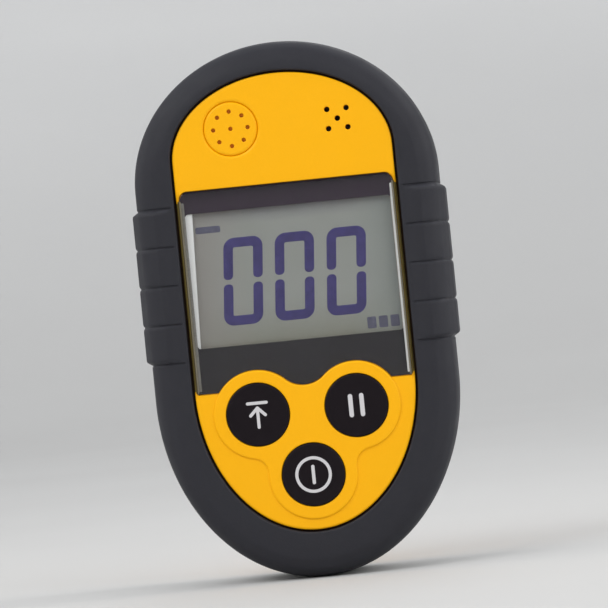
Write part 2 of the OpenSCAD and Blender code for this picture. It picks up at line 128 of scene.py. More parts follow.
# Ovals: half ellipses at the ends of a straight middle, for the boot and for the yellow face
TOP_CENTRE, LOW_CENTRE = 29.0, -18.0
FACE_HALF, FACE_TOP, FACE_LOW = 24.6, 52.8, -49.2
FACE_TOP_CENTRE, FACE_LOW_CENTRE = 34.7, -16.8
OPENING_GAP = 0.45

# Grip pads on the sides, between five grooves
GROOVE_TOP, GROOVE_PITCH, GROOVE_WIDTH, PADS = 25.0, 8.65, 0.55, 4
GROOVE_DEPTH = 0.3
LEDGE_DROP = 0.9


def world(points):
    p = np.asarray(points, float).reshape(-1, 3)
    return np.stack([p[:, 0], -p[:, 2], p[:, 1]], axis=1)


# ---------------------------------------------------------------- outlines, anticlockwise
def smooth(x, low, high):
    """0 below low, 1 above high, an S curve between."""
    t = np.clip((np.asarray(x, float) - low) / (high - low), 0, 1)
    return t * t * (3 - 2 * t)


def stations(arc_steps, side_ys):
    """Where points sit round an oval: an angle in its two arcs, a y on its two sides."""
    turn = [math.pi * i / arc_steps for i in range(arc_steps + 1)]
    down = sorted(side_ys, reverse=True)
    return ([("top", a) for a in turn] + [("left", y) for y in down]
            + [("low", a + math.pi) for a in turn] + [("right", y) for y in reversed(down)])


def body_oval(inset, where):
    half, end = HALF_WIDTH - inset, HALF_LENGTH - inset
    out = []
    for part, at in where:
        if part == "top":
            out.append((half * math.cos(at), TOP_CENTRE + (end - TOP_CENTRE) * math.sin(at)))
        elif part == "low":
            out.append((half * math.cos(at), LOW_CENTRE + (LOW_CENTRE + end) * math.sin(at)))
        else:
            out.append((half if part == "right" else -half, at))
    return np.array(out)


def face_oval(inset, where):
    """The yellow face's outline, its side points level with those of the body."""
    half, low_rise = FACE_HALF - inset, FACE_LOW_CENTRE - FACE_LOW - inset
    straight = FACE_TOP_CENTRE - TOP_CENTRE
    skip = straight / HALF_WIDTH
    start = math.asin((FACE_LOW_CENTRE - LOW_CENTRE) / low_rise)
    out = []
    for part, at in where:
        if part == "top":
            from_side = min(at, math.pi - at)
            if from_side < skip:
                out.append((math.copysign(half, math.cos(at)), TOP_CENTRE + straight * from_side / skip))
            else:
                a = (at - skip) / (math.pi - 2 * skip) * math.pi
                rise = FACE_TOP - inset - FACE_TOP_CENTRE
                out.append((half * math.cos(a), FACE_TOP_CENTRE + rise * math.sin(a)))
        elif part == "low":
            a = math.pi + start + (at - math.pi) / math.pi * (math.pi - 2 * start)
            out.append((half * math.cos(a), FACE_LOW_CENTRE + low_rise * math.sin(a)))
        else:
            below = max(0.0, FACE_LOW_CENTRE - at) / low_rise
            side = 1 if part == "right" else -1
            out.append((math.copysign(half, side) * math.sqrt(1 - below ** 2), at))
    return np.array(out)


def case_stations(more=()):
    return stations(80, [*np.arange(LOW_CENTRE + 4, TOP_CENTRE, 4), *more])


def quarter(r, steps):
    """Steps of a quarter round from a wall to a flat top: how far in, how far up, and the angle."""
    angles = [math.pi / 2 * k / steps for k in range(steps + 1)]
    return [(r * (1 - math.cos(a)), r * math.sin(a), a) for a in angles]


def rubbing(angle):
    """Wear on a rounded edge, most where it is halfway round."""
    return 0.3 + 0.7 * math.sin(2 * angle)


def around(centre, r, angles):
    """The points at these angles on a circle."""
    return np.stack([centre[0] + r * np.cos(angles), centre[1] + r * np.sin(angles)], axis=1)


def circle(centre, r, n=64):
    return around(centre, r, np.linspace(0, 2 * np.pi, n, endpoint=False))


def arc(centre, r, a0, a1, step=4.0):
    """Points along an arc from angle a0 to a1 in degrees, ends included."""
    return around(centre, r, np.radians(np.linspace(a0, a1, max(2, int(abs(a1 - a0) / step) + 1))))


def rounded(corners, radii, step=12.0):
    """A polygon with its corners rounded, hollow corners too."""
    corners = np.array(corners, float)
    radii = np.broadcast_to(radii, len(corners))
    out = []
    neighbours = np.roll(corners, 1, axis=0), corners, np.roll(corners, -1, axis=0)
    for before, corner, after, r in zip(*neighbours, radii):
        a = (before - corner) / np.linalg.norm(before - corner)
        b = (after - corner) / np.linalg.norm(after - corner)
        half = math.acos(np.clip(a @ b, -1, 1)) / 2
        if r < 1e-6 or half > 1.55:
            out.append([corner])
            continue
        centre = corner + (a + b) / np.linalg.norm(a + b) * r / math.sin(half)
        start, end = (corner + d * r / math.tan(half) - centre for d in (a, b))
        a0 = math.degrees(math.atan2(start[1], start[0]))
        turn = (math.degrees(math.atan2(end[1], end[0])) - a0 + 180) % 360 - 180
        out.append(arc(centre, r, a0, a0 + turn, step))
    return np.concatenate(out)


def rectangle(x0, x1, y0, y1, radii):
    """Corners in this order: left low, right low, right top, left top."""
    return rounded([(x0, y0), (x1, y0), (x1, y1), (x0, y1)], radii)


def angle_of(centre, point):
    return math.degrees(math.atan2(point[1] - centre[1], point[0] - centre[0]))


def bar(a, b, width):
    """A stroke from a to b with round ends."""
    turn = angle_of(a, b)
    return np.concatenate([arc(b, width / 2, turn - 90, turn + 90, 18),
                           arc(a, width / 2, turn + 90, turn + 270, 18)])


def sweep(centre, r, start, end, direction, step=4.0):
    """An arc round centre from the direction of start to that of end, +1 anticlockwise or -1."""
    a0 = angle_of(centre, start)
    turn = (angle_of(centre, end) - a0) * direction % 360
    return arc(centre, r, a0, a0 + direction * turn, step)


def touching(a, b, r):
    """Centre of the circle of radius r that touches the pads round a and b, to the right of a to b."""
    a, b = np.array(a), np.array(b)
    half = np.linalg.norm(b - a) / 2
    along = (b - a) / (2 * half)
    return (a + b) / 2 + math.sqrt((PAD_R + r) ** 2 - half * half) * np.array([along[1], -along[0]])


def dip_arc():
    """Centre and radius of the arc where the lens dips between the two upper keys."""
    spread, key_y = KEYS["hold"]
    low = LENS_LOW[1] + 0.1
    rise = key_y - low
    r = (spread ** 2 + rise ** 2 - PAD_R ** 2) / (2 * (PAD_R + rise))
    return np.array([0, low + r]), r


def lens_outline(grow):
    """Round corners at the top; the lower edge runs round the pads of the two upper keys."""
    corner, low_corner = 2.0, 0.5
    x0, x1 = LENS_LOW[0] - grow, LENS_HIGH[0] + grow
    y0, y1 = LENS_LOW[1] - grow, LENS_HIGH[1] + grow
    left, right = KEYS["max"], KEYS["hold"]
    dip, dip_r = dip_arc()
    r = PAD_R - grow
    reach = math.degrees(math.asin((y0 - right[1]) / r))
    foot = around(right, r, np.radians([reach]))[0]
    mirror = np.array([-1, 1])
    return np.concatenate([
        arc((x1 - corner, y1 - corner), corner, 0, 90, 9),
        arc((x0 + corner, y1 - corner), corner, 90, 180, 9),
        arc((x0 + low_corner, y0 + low_corner), low_corner, 180, 270, 15),
        sweep(left, r, foot * mirror, dip, -1, 3),
        sweep(dip, dip_r + grow, left, right, 1)[1:-1],
        sweep(right, r, dip, foot, -1, 3),
        arc((x1 - low_corner, y0 + low_corner), low_corner, 270, 360, 15)])


def keypad_outline(grow):
    """The raised pads round the three keys, joined by hollow fillets."""
    r, web, web_r = PAD_R + grow, 3.5 - grow, 3.5
    left, right, power = KEYS["max"], KEYS["hold"], KEYS["power"]
    dip, dip_r = dip_arc()
    low_right = touching(power, right, web_r)
    low_left = low_right * [-1, 1]
    return np.concatenate([
        sweep(right, r, low_right, dip, 1, 3), sweep(dip, dip_r - grow, right, left, -1)[1:-1],
        sweep(left, r, dip, low_left, 1, 3), sweep(low_left, web, left, power, -1, 8)[1:-1],
        sweep(power, r, low_left, low_right, 1, 3), sweep(low_right, web, power, right, -1, 8)[1:-1]])


def inset(points, distance):
    """A closed line moved to its left, into the shape, by a distance or one a point."""
    ahead = np.roll(points, -1, axis=0) - points
    ahead = ahead / (np.linalg.norm(ahead, axis=1, keepdims=True) + 1e-12)
    left = np.stack([-ahead[:, 1], ahead[:, 0]], axis=1)
    both = left + np.roll(left, 1, axis=0)
    both = both / (np.linalg.norm(both, axis=1, keepdims=True) + 1e-12)
    mitre = 1 / np.clip((both * left).sum(axis=1, keepdims=True), 0.6, 1)
    return points + both * mitre * np.broadcast_to(distance, len(points))[:, None]


# ---------------------------------------------------------------- shapes
def placed(name, data):
    """An object with this data, linked into the scene."""
    obj = bpy.data.objects.new(name, data)
    bpy.context.scene.collection.objects.link(obj)
    return obj


class Shape:
    """Collects rings of points into a closed mesh, with a wear value a point and a slot a face."""

    def __init__(self):
        self.points, self.wear, self.faces, self.slots = [], [], [], []
        self.count = self.slot = 0

    def ring(self, xy, z, wear=0.0):
        n = len(xy)
        self.points.append(np.column_stack([xy, np.broadcast_to(z, n)]))
        self.wear.append(np.broadcast_to(wear, n))
        self.count += n
        return np.arange(self.count - n, self.count)

    def rings(self, *places):
        """One ring for each pair of an outline and a height."""
        return [self.ring(xy, z) for xy, z in places]

    def face(self, corners):
        corners = list(dict.fromkeys(int(c) for c in corners))
        if len(corners) > 2:
            self.faces.append(corners)
            self.slots.append(self.slot)

    def bridge(self, rings):
        """Quads between rings, facing right of the rings' own direction where they climb."""
        for a, b in zip(rings, rings[1:]):
            for i in range(len(a)):
                j = (i + 1) % len(a)
                self.face((a[i], a[j], b[j], b[i]))

    def cap(self, rings, up=True):
        """Fills the flat area inside the first ring and outside the others."""
        points = np.concatenate(self.points)
        index = np.concatenate(rings)
        for t in tessellate_polygon([[Vector((*points[i][:2], 0)) for i in r] for r in rings]):
            a, b, c = (points[index[k]][:2] for k in t)
            area = (b[0] - a[0]) * (c[1] - a[1]) - (c[0] - a[0]) * (b[1] - a[1])
            if abs(area) > 1e-9:
                corners = [index[k] for k in t]
                self.face(corners if (area > 0) == up else corners[::-1])

    def closed(self, through, blind=()):
        """Walls up stacks of rings, and flat areas between their ends. Blind ones open at the top only."""
        stacks = [*through, *blind]
        for stack in stacks:
            self.bridge(stack)
        self.cap([stack[-1] for stack in stacks])
        self.cap([stack[0] for stack in through], up=False)
        return self

    def edge(self, points, z, r, steps=4, margin=0.15):
        """Rings that round a wall over into a flat top at height z. r is one radius or one a point."""
        r = np.broadcast_to(r, len(points))
        rings = [self.ring(inset(points, inward), z - r + up, rubbing(a))
                 for inward, up, a in quarter(r, steps)]
        return rings + [self.ring(inset(points, r + margin), z)]

    def foot(self, points, z, r=0.06):
        """Rings that round a flat underside at height z up into a wall."""
        return self.rings((inset(points, r + 0.05), z), (inset(points, r), z), (points, z + r))

    def plate(self, outline, z0, z1, r=0.1, holes=(), low_r=0.06, steps=4, margin=0.15):
        """A closed plate. Holes are (outline, edge radius) pairs, their outlines anticlockwise too."""
        loops = [(outline, r)] + [(points[::-1], hole_r) for points, hole_r in holes]
        return self.closed([self.foot(points, z0, low_r) + self.edge(points, z1, edge_r, steps, margin)
                            for points, edge_r in loops])

    def ink(self, outline, z0, z1, margin=0.15):
        """Adds a printed patch: a very thin plate."""
        return self.add(Shape().plate(outline, z0, z1, 0.02, low_r=0.01, steps=2, margin=margin))

    def lathe(self, profile, centre, n, wear=None):
        """Turns (radius, height) points, from the bottom up on the outside, round an upright axis."""
        rings = []
        for k, (r, z) in enumerate(profile):
            if r < 1e-6:
                rings.append(np.repeat(self.ring(np.array([centre]), z), n))
            else:
                rings.append(self.ring(circle(centre, r, n), z, 0 if wear is None else wear[k]))
        self.bridge(rings)
        return self

    def moved(self, matrix):
        m = np.array(matrix)
        self.points = [p @ m[:3, :3].T + m[:3, 3] for p in self.points]
        return self

    def turned_over(self):
        """Swaps front and back, keeping left and right."""
        self.points = [p * [1, 1, -1] for p in self.points]
        self.faces = [f[::-1] for f in self.faces]
        return self

    def add(self, other):
        self.faces += [[i + self.count for i in f] for f in other.faces]
        self.points += other.points
        self.wear += other.wear
        self.slots += other.slots
        self.count += other.count
        return self

    def made(self, name, materials):
        """The mesh object, in the frame's metres."""
        mesh = bpy.data.meshes.new(name)
        mesh.from_pydata((world(np.concatenate(self.points)) * MM).tolist(), [], self.faces)
        for m in materials:
            mesh.materials.append(m)
        mesh.polygons.foreach_set("use_smooth", [True] * len(mesh.polygons))
        return placed(name, mesh)

    def piece(self, name, materials, slot, stands_for=(), body=BODY, sharp=40):
        """The mesh object with its slots and wear, riding on a body."""
        obj = self.made(name, materials if isinstance(materials, list) else [materials])
        mesh = obj.data
        mesh.polygons.foreach_set("material_index", self.slots)
        wear = mesh.attributes.new("wear", "FLOAT", "POINT")
        wear.data.foreach_set("value", np.concatenate(self.wear).astype(np.float32))
        mesh.update()
        mesh.set_sharp_from_angle(angle=math.radians(sharp))
        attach(obj, body)
        if stands_for:
            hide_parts(*stands_for)
        return obj


# ---------------------------------------------------------------- materials
def srgb(r, g, b):
    """A colour from its screen values, 0 to 255."""
    return tuple((v / 12.92 if v <= 0.04045 else ((v + 0.055) / 1.055) ** 2.4)
                 for v in (r / 255, g / 255, b / 255)) + (1.0,)


def shade(colour, by):
    return tuple(min(1.0, c * by) for c in colour[:3]) + (1.0,)


class Finish:
    """A procedural material in object space, built round one Principled shader."""

    def __init__(self, name, specular=0.5, metallic=0.0):
        self.material = bpy.data.materials.new(name)
        self.material.use_nodes = True
        self.tree = self.material.node_tree
        self.shader = self.tree.nodes["Principled BSDF"]
        self.set(self.shader, **{"Metallic": metallic, "Specular IOR Level": specular})
        self.place = self.node("ShaderNodeTexCoord").outputs["Object"]

    def node(self, kind, **settings):
        n = self.tree.nodes.new(kind)
        for key, value in settings.items():
            setattr(n, key, value)
        return n

    def set(self, node, **inputs):
        for key, value in inputs.items():
            self.put(value, node.inputs[key])

    def put(self, value, socket):
        if isinstance(value, bpy.types.NodeSocket):
            self.tree.links.new(value, socket)
        else:
            socket.default_value = value

    def stretch(self, x=1.0, y=1.0, z=1.0, turn=(0, 0, 0)):
        """The place in metres of the frame, squeezed along each axis."""
        n = self.node("ShaderNodeMapping")
        self.set(n, Vector=self.place, Scale=(x, y, z), Rotation=turn)
        return n.outputs[0]

    def noise(self, mm, detail=2.0, place=None):
        n = self.node("ShaderNodeTexNoise")
        self.set(n, Vector=place or self.place, Scale=1 / (mm * MM), Detail=detail)
        return n.outputs[0]

    def cells(self, mm):
        n = self.node("ShaderNodeTexVoronoi")
        self.set(n, Vector=self.place, Scale=1 / (mm * MM))
        return n.outputs["Distance"]

    def span(self, value, low, high, to_low=0.0, to_high=1.0):
        n = self.node("ShaderNodeMapRange")
        for socket, v in zip(n.inputs, (value, low, high, to_low, to_high)):
            self.put(v, socket)
        return n.outputs[0]

    def sway(self, noise, low, high):
        """A value that drifts with the noise, whose own values mostly lie between 0.3 and 0.7."""
        return self.span(noise, 0.3, 0.7, low, high)

    def sum(self, operation, a, b):
        n = self.node("ShaderNodeMath", operation=operation)
        self.put(a, n.inputs[0])
        self.put(b, n.inputs[1])
        return n.outputs[0]

    def mix(self, share, a, b):
        n = self.node("ShaderNodeMix", data_type="RGBA")
        for socket, v in zip((n.inputs[0], n.inputs[6], n.inputs[7]), (share, a, b)):
            self.put(v, socket)
        return n.outputs[2]

    def axis(self, name):
        """One world coordinate in mm: X to the right, Y to the back, Z up."""
        n = self.node("ShaderNodeSeparateXYZ")
        self.put(self.place, n.inputs[0])
        return self.sum("MULTIPLY", n.outputs[name], 1 / MM)

    def patches(self, base, noise, low, share, colour, high=0.7):
        """Another colour over the base where the noise is high."""
        return self.mix(self.span(noise, low, high, 0.0, share), base, colour)

    def edge(self):
        return self.node("ShaderNodeAttribute", attribute_name="wear").outputs["Fac"]

    def worn(self):
        """Where edges are rubbed: their wear value, broken up by noise."""
        return self.sum("MULTIPLY", self.edge(), self.span(self.noise(1.7, 4.0), 0.42, 0.66))

    def bump(self, height, mm, under=None):
        n = self.node("ShaderNodeBump")
        self.set(n, Height=height, Distance=mm * MM, Strength=1.0)
        if under is not None:
            self.set(n, Normal=under)
        return n.outputs[0]

    def dress(self, colour, roughness, normal):
        self.set(self.shader, **{"Base Color": colour, "Roughness": roughness, "Normal": normal})
        return self.material


def moulded(name, colour, roughness, specular, grain, depth, mottle, rubbed):
    """Moulded plastic or rubber: fine spark grain, slow colour drift, dust and rubbed edges.

    Grain and its depth are in mm. Rubbed edges have the colour times rubbed and are smoother.
    """
    f = Finish(name, specular=specular)
    drift = f.mix(f.noise(14, 3.0), shade(colour, 1 - mottle), shade(colour, 1 + mottle))
    speck = f.span(f.noise(grain * 1.6, 3.0), 0.35, 0.75)
    base = f.mix(f.sum("MULTIPLY", speck, 0.5), drift, shade(colour, 1 - 1.6 * mottle))
    worn = f.worn()
    base = f.mix(f.sum("MULTIPLY", worn, 0.6), base, shade(colour, rubbed))
    rough = f.sway(f.noise(5, 4.0), roughness - 0.05, roughness + 0.05)
    rough = f.sum("ADD", rough, f.sum("MULTIPLY", worn, -0.12))
    slow = f.bump(f.noise(9, 1.0), 0.02)
    fine = f.bump(f.cells(grain), depth, slow)
    return f.dress(base, rough, f.bump(f.noise(grain / 2, 2.0), depth / 2, fine))


def brushed(name, colour, roughness, along):
    """Metal with fine lines along one axis and small stains."""
    f = Finish(name, metallic=1.0)
    lines = f.noise(0.12, 3.0, f.stretch(*(0.04 if axis == along else 1.0 for axis in "XYZ")))
    stain = f.span(f.noise(2.6, 4.0), 0.45, 0.72)
    base = f.mix(lines, shade(colour, 0.86), shade(colour, 1.1))
    base = f.mix(f.sum("MULTIPLY", stain, 0.35), base, shade(colour, 0.62))
    rough = f.sway(lines, roughness - 0.08, roughness + 0.1)
    rough = f.sum("ADD", rough, f.sum("MULTIPLY", stain, 0.1))
    return f.dress(base, rough, f.bump(lines, 0.003))


def clear_lens():
    """Clear acrylic that lets lamps through: see-through, with gloss by its angle and slow smears."""
    f = Finish("clear_lens")
    facing = f.node("ShaderNodeLayerWeight").outputs["Facing"]
    share = f.span(f.sum("POWER", facing, 4.0), 0.0, 1.0, 0.022, 0.6)
    gloss = f.node("ShaderNodeBsdfGlossy")
    smear = f.span(f.noise(6), 0.35, 0.75, 0.05, 0.1)
    f.set(gloss, Roughness=smear, Normal=f.bump(f.noise(16, 1.0), 0.004))
    clear = f.node("ShaderNodeBsdfTransparent")
    f.set(clear, Color=f.mix(f.noise(20), (0.965, 0.965, 0.963, 1), (0.985, 0.985, 0.985, 1)))
    blend = f.node("ShaderNodeMixShader")
    for socket, v in zip(blend.inputs, (share, clear.outputs[0], gloss.outputs[0])):
        f.put(v, socket)
    f.put(blend.outputs[0], f.tree.nodes["Material Output"].inputs["Surface"])
    f.tree.nodes.remove(f.shader)
    return f.material


def lens_side():
    """The lens's polished rim, opaque: a painted reflection, pale near the face and in pale streaks, fading
    to a painted olive shade lower down.
    """
    f = Finish("lens_rim_painted_light", specular=0.6)
    depth = f.span(f.axis("Y"), -PAD_Z, -LENS_LOW[2])
    streak = f.noise(0.5, 3.0, f.stretch(1.0, 1.0, 0.08))
    # Painted reflection near the face, painted olive shade lower down, painted pale streaks.
    base = f.mix(depth, srgb(106, 100, 84), srgb(76, 70, 46))
    base = f.patches(base, streak, 0.4, 0.5, srgb(120, 112, 92))
    return f.dress(base, f.sway(streak, 0.08, 0.2), f.bump(streak, 0.004))


def lens_print():
    """Dark ink on the back of the lens, more plum towards the top, with faint cloudy patches."""
    f = Finish("lens_print", specular=0.25)
    top = f.span(f.axis("Z"), VIEW_LOW, VIEW_TOP)
    base = f.mix(top, srgb(28, 26, 30), srgb(42, 27, 44))
    cloud = f.noise(2.2, 3.0)
    base = f.patches(base, cloud, 0.35, 0.3, srgb(44, 38, 46))
    return f.dress(base, f.sway(cloud, 0.42, 0.56), f.bump(f.noise(9), 0.004))


def lcd_film():
    """The reflective display: grey green, with a painted shadow that makes it darker and cooler under the top
    edge of the print; darker and yellower towards the bottom, warmer to the left, cooler to the right, with
    fine pale flecks.
    """
    f = Finish("lcd_film", specular=0.3)
    up = f.axis("Z")
    across = f.axis("X")
    # Painted shadow: darker and cooler under the print's top edge.
    base = f.mix(f.span(up, 20, VIEW_TOP), srgb(143, 146, 142), srgb(120, 121, 126))
    base = f.mix(f.span(up, 3, VIEW_LOW), base, srgb(126, 127, 116))
    base = f.mix(f.span(across, -9, -22, 0.0, 0.75), base, srgb(138, 132, 128))
    base = f.mix(f.span(across, 12, 23, 0.0, 0.8), base, srgb(131, 138, 136))
    fleck = f.noise(0.16)
    base = f.patches(base, fleck, 0.4, 0.35, srgb(160, 162, 154), 0.72)
    base = f.patches(base, f.noise(7, 3.0), 0.4, 0.25, srgb(134, 138, 130))
    return f.dress(base, f.sway(fleck, 0.3, 0.42), f.bump(fleck, 0.003))


def lcd_ink(name, colour):
    """Switched-on liquid crystal: violet dark, lighter towards the edges of a segment."""
    f = Finish(name, specular=0.2)
    cloud = f.noise(1.3, 3.0)
    base = f.mix(f.span(cloud, 0.35, 0.7), shade(colour, 0.86), shade(colour, 1.2))
    base = f.mix(f.sum("MULTIPLY", f.edge(), 0.5), base, shade(colour, 1.7))
    return f.dress(base, f.sway(cloud, 0.34, 0.46), f.bump(f.noise(0.2), 0.002))


def glass():
    """The display's glass plate, smeared and slightly green."""
    f = Finish("lcd_glass", specular=0.6)
    smear = f.noise(6, 4.0)
    base = f.mix(smear, srgb(150, 160, 152), srgb(176, 184, 176))
    return f.dress(base, f.sway(smear, 0.04, 0.16), f.bump(f.noise(12, 1.0), 0.004))


def foil(name, colour):
    """Printed film with a satin face and faint rolling marks."""
    f = Finish(name, specular=0.4)
    roll = f.noise(0.4, 3.0, f.stretch(0.1, 1.0, 1.0))
    base = f.mix(roll, shade(colour, 0.9), shade(colour, 1.12))
    base = f.patches(base, f.noise(4, 3.0), 0.4, 0.3, shade(colour, 0.8))
    return f.dress(base, f.sway(roll, 0.24, 0.38), f.bump(roll, 0.004))


def foam():
    """Black foam with pores of two sizes."""
    f = Finish("soft_foam", specular=0.2)
    pores = f.cells(0.7)
    small = f.cells(0.28)
    base = f.mix(f.span(pores, 0.1, 0.6), srgb(28, 28, 31), srgb(66, 66, 70))
    base = f.patches(base, f.noise(6, 3.0), 0.4, 0.3, srgb(80, 79, 80))
    rough = f.span(small, 0.1, 0.6, 0.8, 0.96)
    return f.dress(base, rough, f.bump(small, 0.04, f.bump(pores, 0.12)))


def circuit_board():
    """Green lacquer over copper tracks, with tinned holes between them."""
    f = Finish("circuit_board")
    grid = f.node("ShaderNodeTexBrick", offset=0.37, squash=0.6)
    f.set(grid, Vector=f.stretch(1.0, 1.0, 1.0, (math.pi / 2, 0, 0)), Scale=1 / (2.6 * MM),
          Color1=(0, 0, 0, 1), Color2=(0.25, 0.25, 0.25, 1), Mortar=(1, 1, 1, 1))
    f.set(grid, **{"Mortar Size": 0.045, "Mortar Smooth": 0.1, "Brick Width": 1.6, "Row Height": 0.5})
    track = f.span(grid.outputs["Color"], 0.2, 0.9)
    base = f.mix(track, srgb(14, 74, 42), srgb(44, 118, 70))
    dots = f.span(f.cells(2.1), 0.14, 0.09)
    base = f.mix(dots, base, srgb(196, 190, 170))
    base = f.patches(base, f.noise(9, 3.0), 0.4, 0.3, srgb(10, 58, 36))
    rough = f.sway(f.noise(2, 3.0), 0.24, 0.4)
    return f.dress(base, rough, f.bump(track, 0.02, f.bump(f.noise(0.3), 0.004)))


def battery_jacket():
    """Printed steel jacket: satin lacquer with a coloured end band and fine rolled dents."""
    f = Finish("battery_case", specular=0.6)
    colour, band, blur = srgb(186, 188, 190), -12.0, 0.15
    stripe = f.span(f.axis("Z"), band - blur, band + blur)
    print_noise = f.noise(0.3)
    base = f.mix(stripe, colour, srgb(34, 52, 96))
    base = f.patches(base, print_noise, 0.35, 0.25, shade(colour, 0.7))
    base = f.mix(f.sum("MULTIPLY", f.worn(), 0.8), base, srgb(190, 188, 182))
    f.put(f.span(print_noise, 0.35, 0.7, 0.1, 0.25), f.shader.inputs["Metallic"])
    rough = f.sway(f.noise(3, 3.0), 0.26, 0.42)
    return f.dress(base, rough, f.bump(f.noise(8), 0.03, f.bump(print_noise, 0.003)))


def floor_paper():
    """Pale grey paper, painted darker on the floor, which the lamps light most, and lighter where it rises
    into the wall, so that the two look even.
    """
    f = Finish("studio_floor", specular=0.2)
    fibre = f.noise(1.2, 4.0)
    # Painted shade: the floor darker than the wall, against the lamps' stronger light on it.
    rise = f.span(f.axis("Z"), FLOOR_Z, FLOOR_Z + 260)
    base = f.mix(fibre, srgb(193, 192, 190), srgb(199, 198, 196))
    base = f.mix(rise, base, f.mix(fibre, srgb(234, 233, 231), srgb(239, 238, 236)))
    base = f.patches(base, f.noise(160), 0.3, 0.15, srgb(212, 212, 210))
    return f.dress(base, f.sway(fibre, 0.8, 0.95), f.bump(fibre, 0.02))


# Roughness, specular, grain, its depth, mottling and rubbed edges follow the colour.
RUBBER = moulded("boot_rubber", srgb(40, 40, 46), 0.62, 0.28, 0.5, 0.012, 0.07, 1.5)
SHELL = moulded("yellow_shell", srgb(252, 181, 2), 0.44, 0.2, 0.35, 0.005, 0.02, 1.12)
# Painted shade: the dark olive yellow of the low ledges beside the lens.
LEDGE_SHADE = moulded("yellow_shell_ledge_painted_shade", srgb(112, 96, 44), 0.5, 0.3, 0.35, 0.004, 0.06, 1.2)
# Painted shade: the dark brown of the joint round the face.
JOINT_SHADE = moulded("joint_painted_shade", srgb(44, 27, 12), 0.7, 0.15, 0.3, 0.004, 0.15, 1.3)
FILTER = moulded("sintered_filter", srgb(240, 165, 60), 0.8, 0.2, 0.25, 0.02, 0.12, 1.1)
KEY = moulded("button_black", srgb(20, 13, 18), 0.5, 0.14, 0.3, 0.006, 0.1, 1.9)
LEGEND = moulded("white_print", srgb(206, 204, 206), 0.45, 0.4, 0.25, 0.003, 0.03, 0.8)
WHITE = moulded("white_plastic", srgb(226, 225, 218), 0.38, 0.5, 0.5, 0.003, 0.03, 0.9)
BLACK = moulded("black_plastic", srgb(34, 33, 35), 0.46, 0.45, 0.4, 0.005, 0.1, 1.6)
SILICONE = moulded("silicone", srgb(74, 74, 78), 0.7, 0.3, 0.6, 0.008, 0.06, 1.2)
BLUE = moulded("sleeve_blue", srgb(36, 62, 128), 0.34, 0.5, 0.8, 0.003, 0.08, 1.4)
RED_LEAD = moulded("lead_red", srgb(176, 22, 20), 0.4, 0.5, 0.7, 0.004, 0.08, 1.3)
BLACK_LEAD = moulded("lead_black", srgb(28, 28, 30), 0.42, 0.5, 0.7, 0.004, 0.08, 1.5)
STEEL = brushed("steel", srgb(186, 186, 190), 0.3, "X")
BRASS = brushed("brass", srgb(200, 164, 92), 0.32, "Y")
GOLD = brushed("gold_contact", srgb(226, 184, 92), 0.24, "Y")
LENS = clear_lens()
RIM_PAINTED_LIGHT = lens_side()
PRINT = lens_print()
FILM = lcd_film()
INK = lcd_ink("lcd_ink", srgb(60, 54, 106))
FAINT_INK = lcd_ink("lcd_faint_ink", srgb(86, 86, 104))
GLASS = glass()
FLEX = foil("flex_film", srgb(206, 130, 52))
FOAM = foam()
BOARD = circuit_board()
JACKET = battery_jacket()
STRIP = foil("lens_strip", srgb(150, 147, 140))
# White for the diffuser's edge, and for the painted glint on the right of the display.
DIFFUSER_AND_GLINT = moulded("diffuser_white_and_painted_glint", srgb(246, 247, 246), 0.4, 0.5, 0.5, 0.002, 0.02, 0.95)
PAPER = floor_paper()
# The CAD's materials are named like these finishes
CAD_FINISHES = {finish.name.split(".")[0]: finish for finish in (
    RUBBER, SHELL, LENS, PRINT, WHITE, FOAM, GOLD, BOARD, FLEX, BLACK, FILM, GLASS, SILICONE, STEEL, BLUE,
    KEY, JACKET, RED_LEAD, BLACK_LEAD, BRASS)}


# ---------------------------------------------------------------- rubber boot
def curve(points):
    """A smooth line through points (Catmull-Rom), in four steps a span."""
    p = np.array(points, float)
    p = np.vstack([2 * p[0] - p[1], p, 2 * p[-1] - p[-2]])
    out = []
    for a, b, c, d in zip(p, p[1:], p[2:], p[3:]):
        for t in np.arange(4) / 4:
            out.append(0.5 * (2 * b + (c - a) * t + (2 * a - 5 * b + 4 * c - d) * t ** 2
                              + (3 * b - a - 3 * c + d) * t ** 3))
    return np.array(out + [p[-2]])


def grip_grooves():
    return [GROOVE_TOP - i * GROOVE_PITCH for i in range(PADS + 1)]


def grip_rise(y):
    """How far the grip pads are raised at height y, 0 to 1: soft ends, and shallow dips between the pads."""
    grooves = grip_grooves()
    ends = smooth(min(grooves[0] - y, y - grooves[-1]), 0, 1.1)
    dip = smooth(min(abs(y - g) for g in grooves[1:-1]), 0.1, 0.9)
    return float(ends * (0.86 + 0.14 * dip))


def groove_cut(y):
    """How deep the grip grooves are cut at height y, 0 to 1."""
    return float(1 - smooth(min(abs(y - g) for g in grip_grooves()), 0.1, GROOVE_WIDTH * 0.62))


# Section of the boot from its front shoulder to its back: how far inside the widest outline, and height.
# The second list is the same line over a grip pad.
PLAIN_SIDE = [(4.2, LIP_Z - 0.35), (2.1, LIP_Z - 1.3), (0.8, LIP_Z - 3), (0.35, LIP_Z - 4.3),
              (0.1, LIP_Z - 5.9), (0, LIP_Z - 8), (0, 0), (0, BACK_Z + 8), (0.3, BACK_Z + 5),
              (1.1, BACK_Z + 2.4), (2.2, BACK_Z + 0.8), (3.6, BACK_Z)]
GRIP_SIDE = [(4.4, FRONT_Z), (2.4, FRONT_Z - 0.7), (0.9, FRONT_Z - 1.9), (0, FRONT_Z - 3.7),
             (-0.7, FRONT_Z - 5.6), (-GRIP, FRONT_Z - 8), (-GRIP, 0), (-GRIP, BACK_Z + 8.4),
             (-0.7, BACK_Z + 5.4), (0.1, BACK_Z + 3.2), (1.4, BACK_Z + 1.5), (3.6, BACK_Z)]


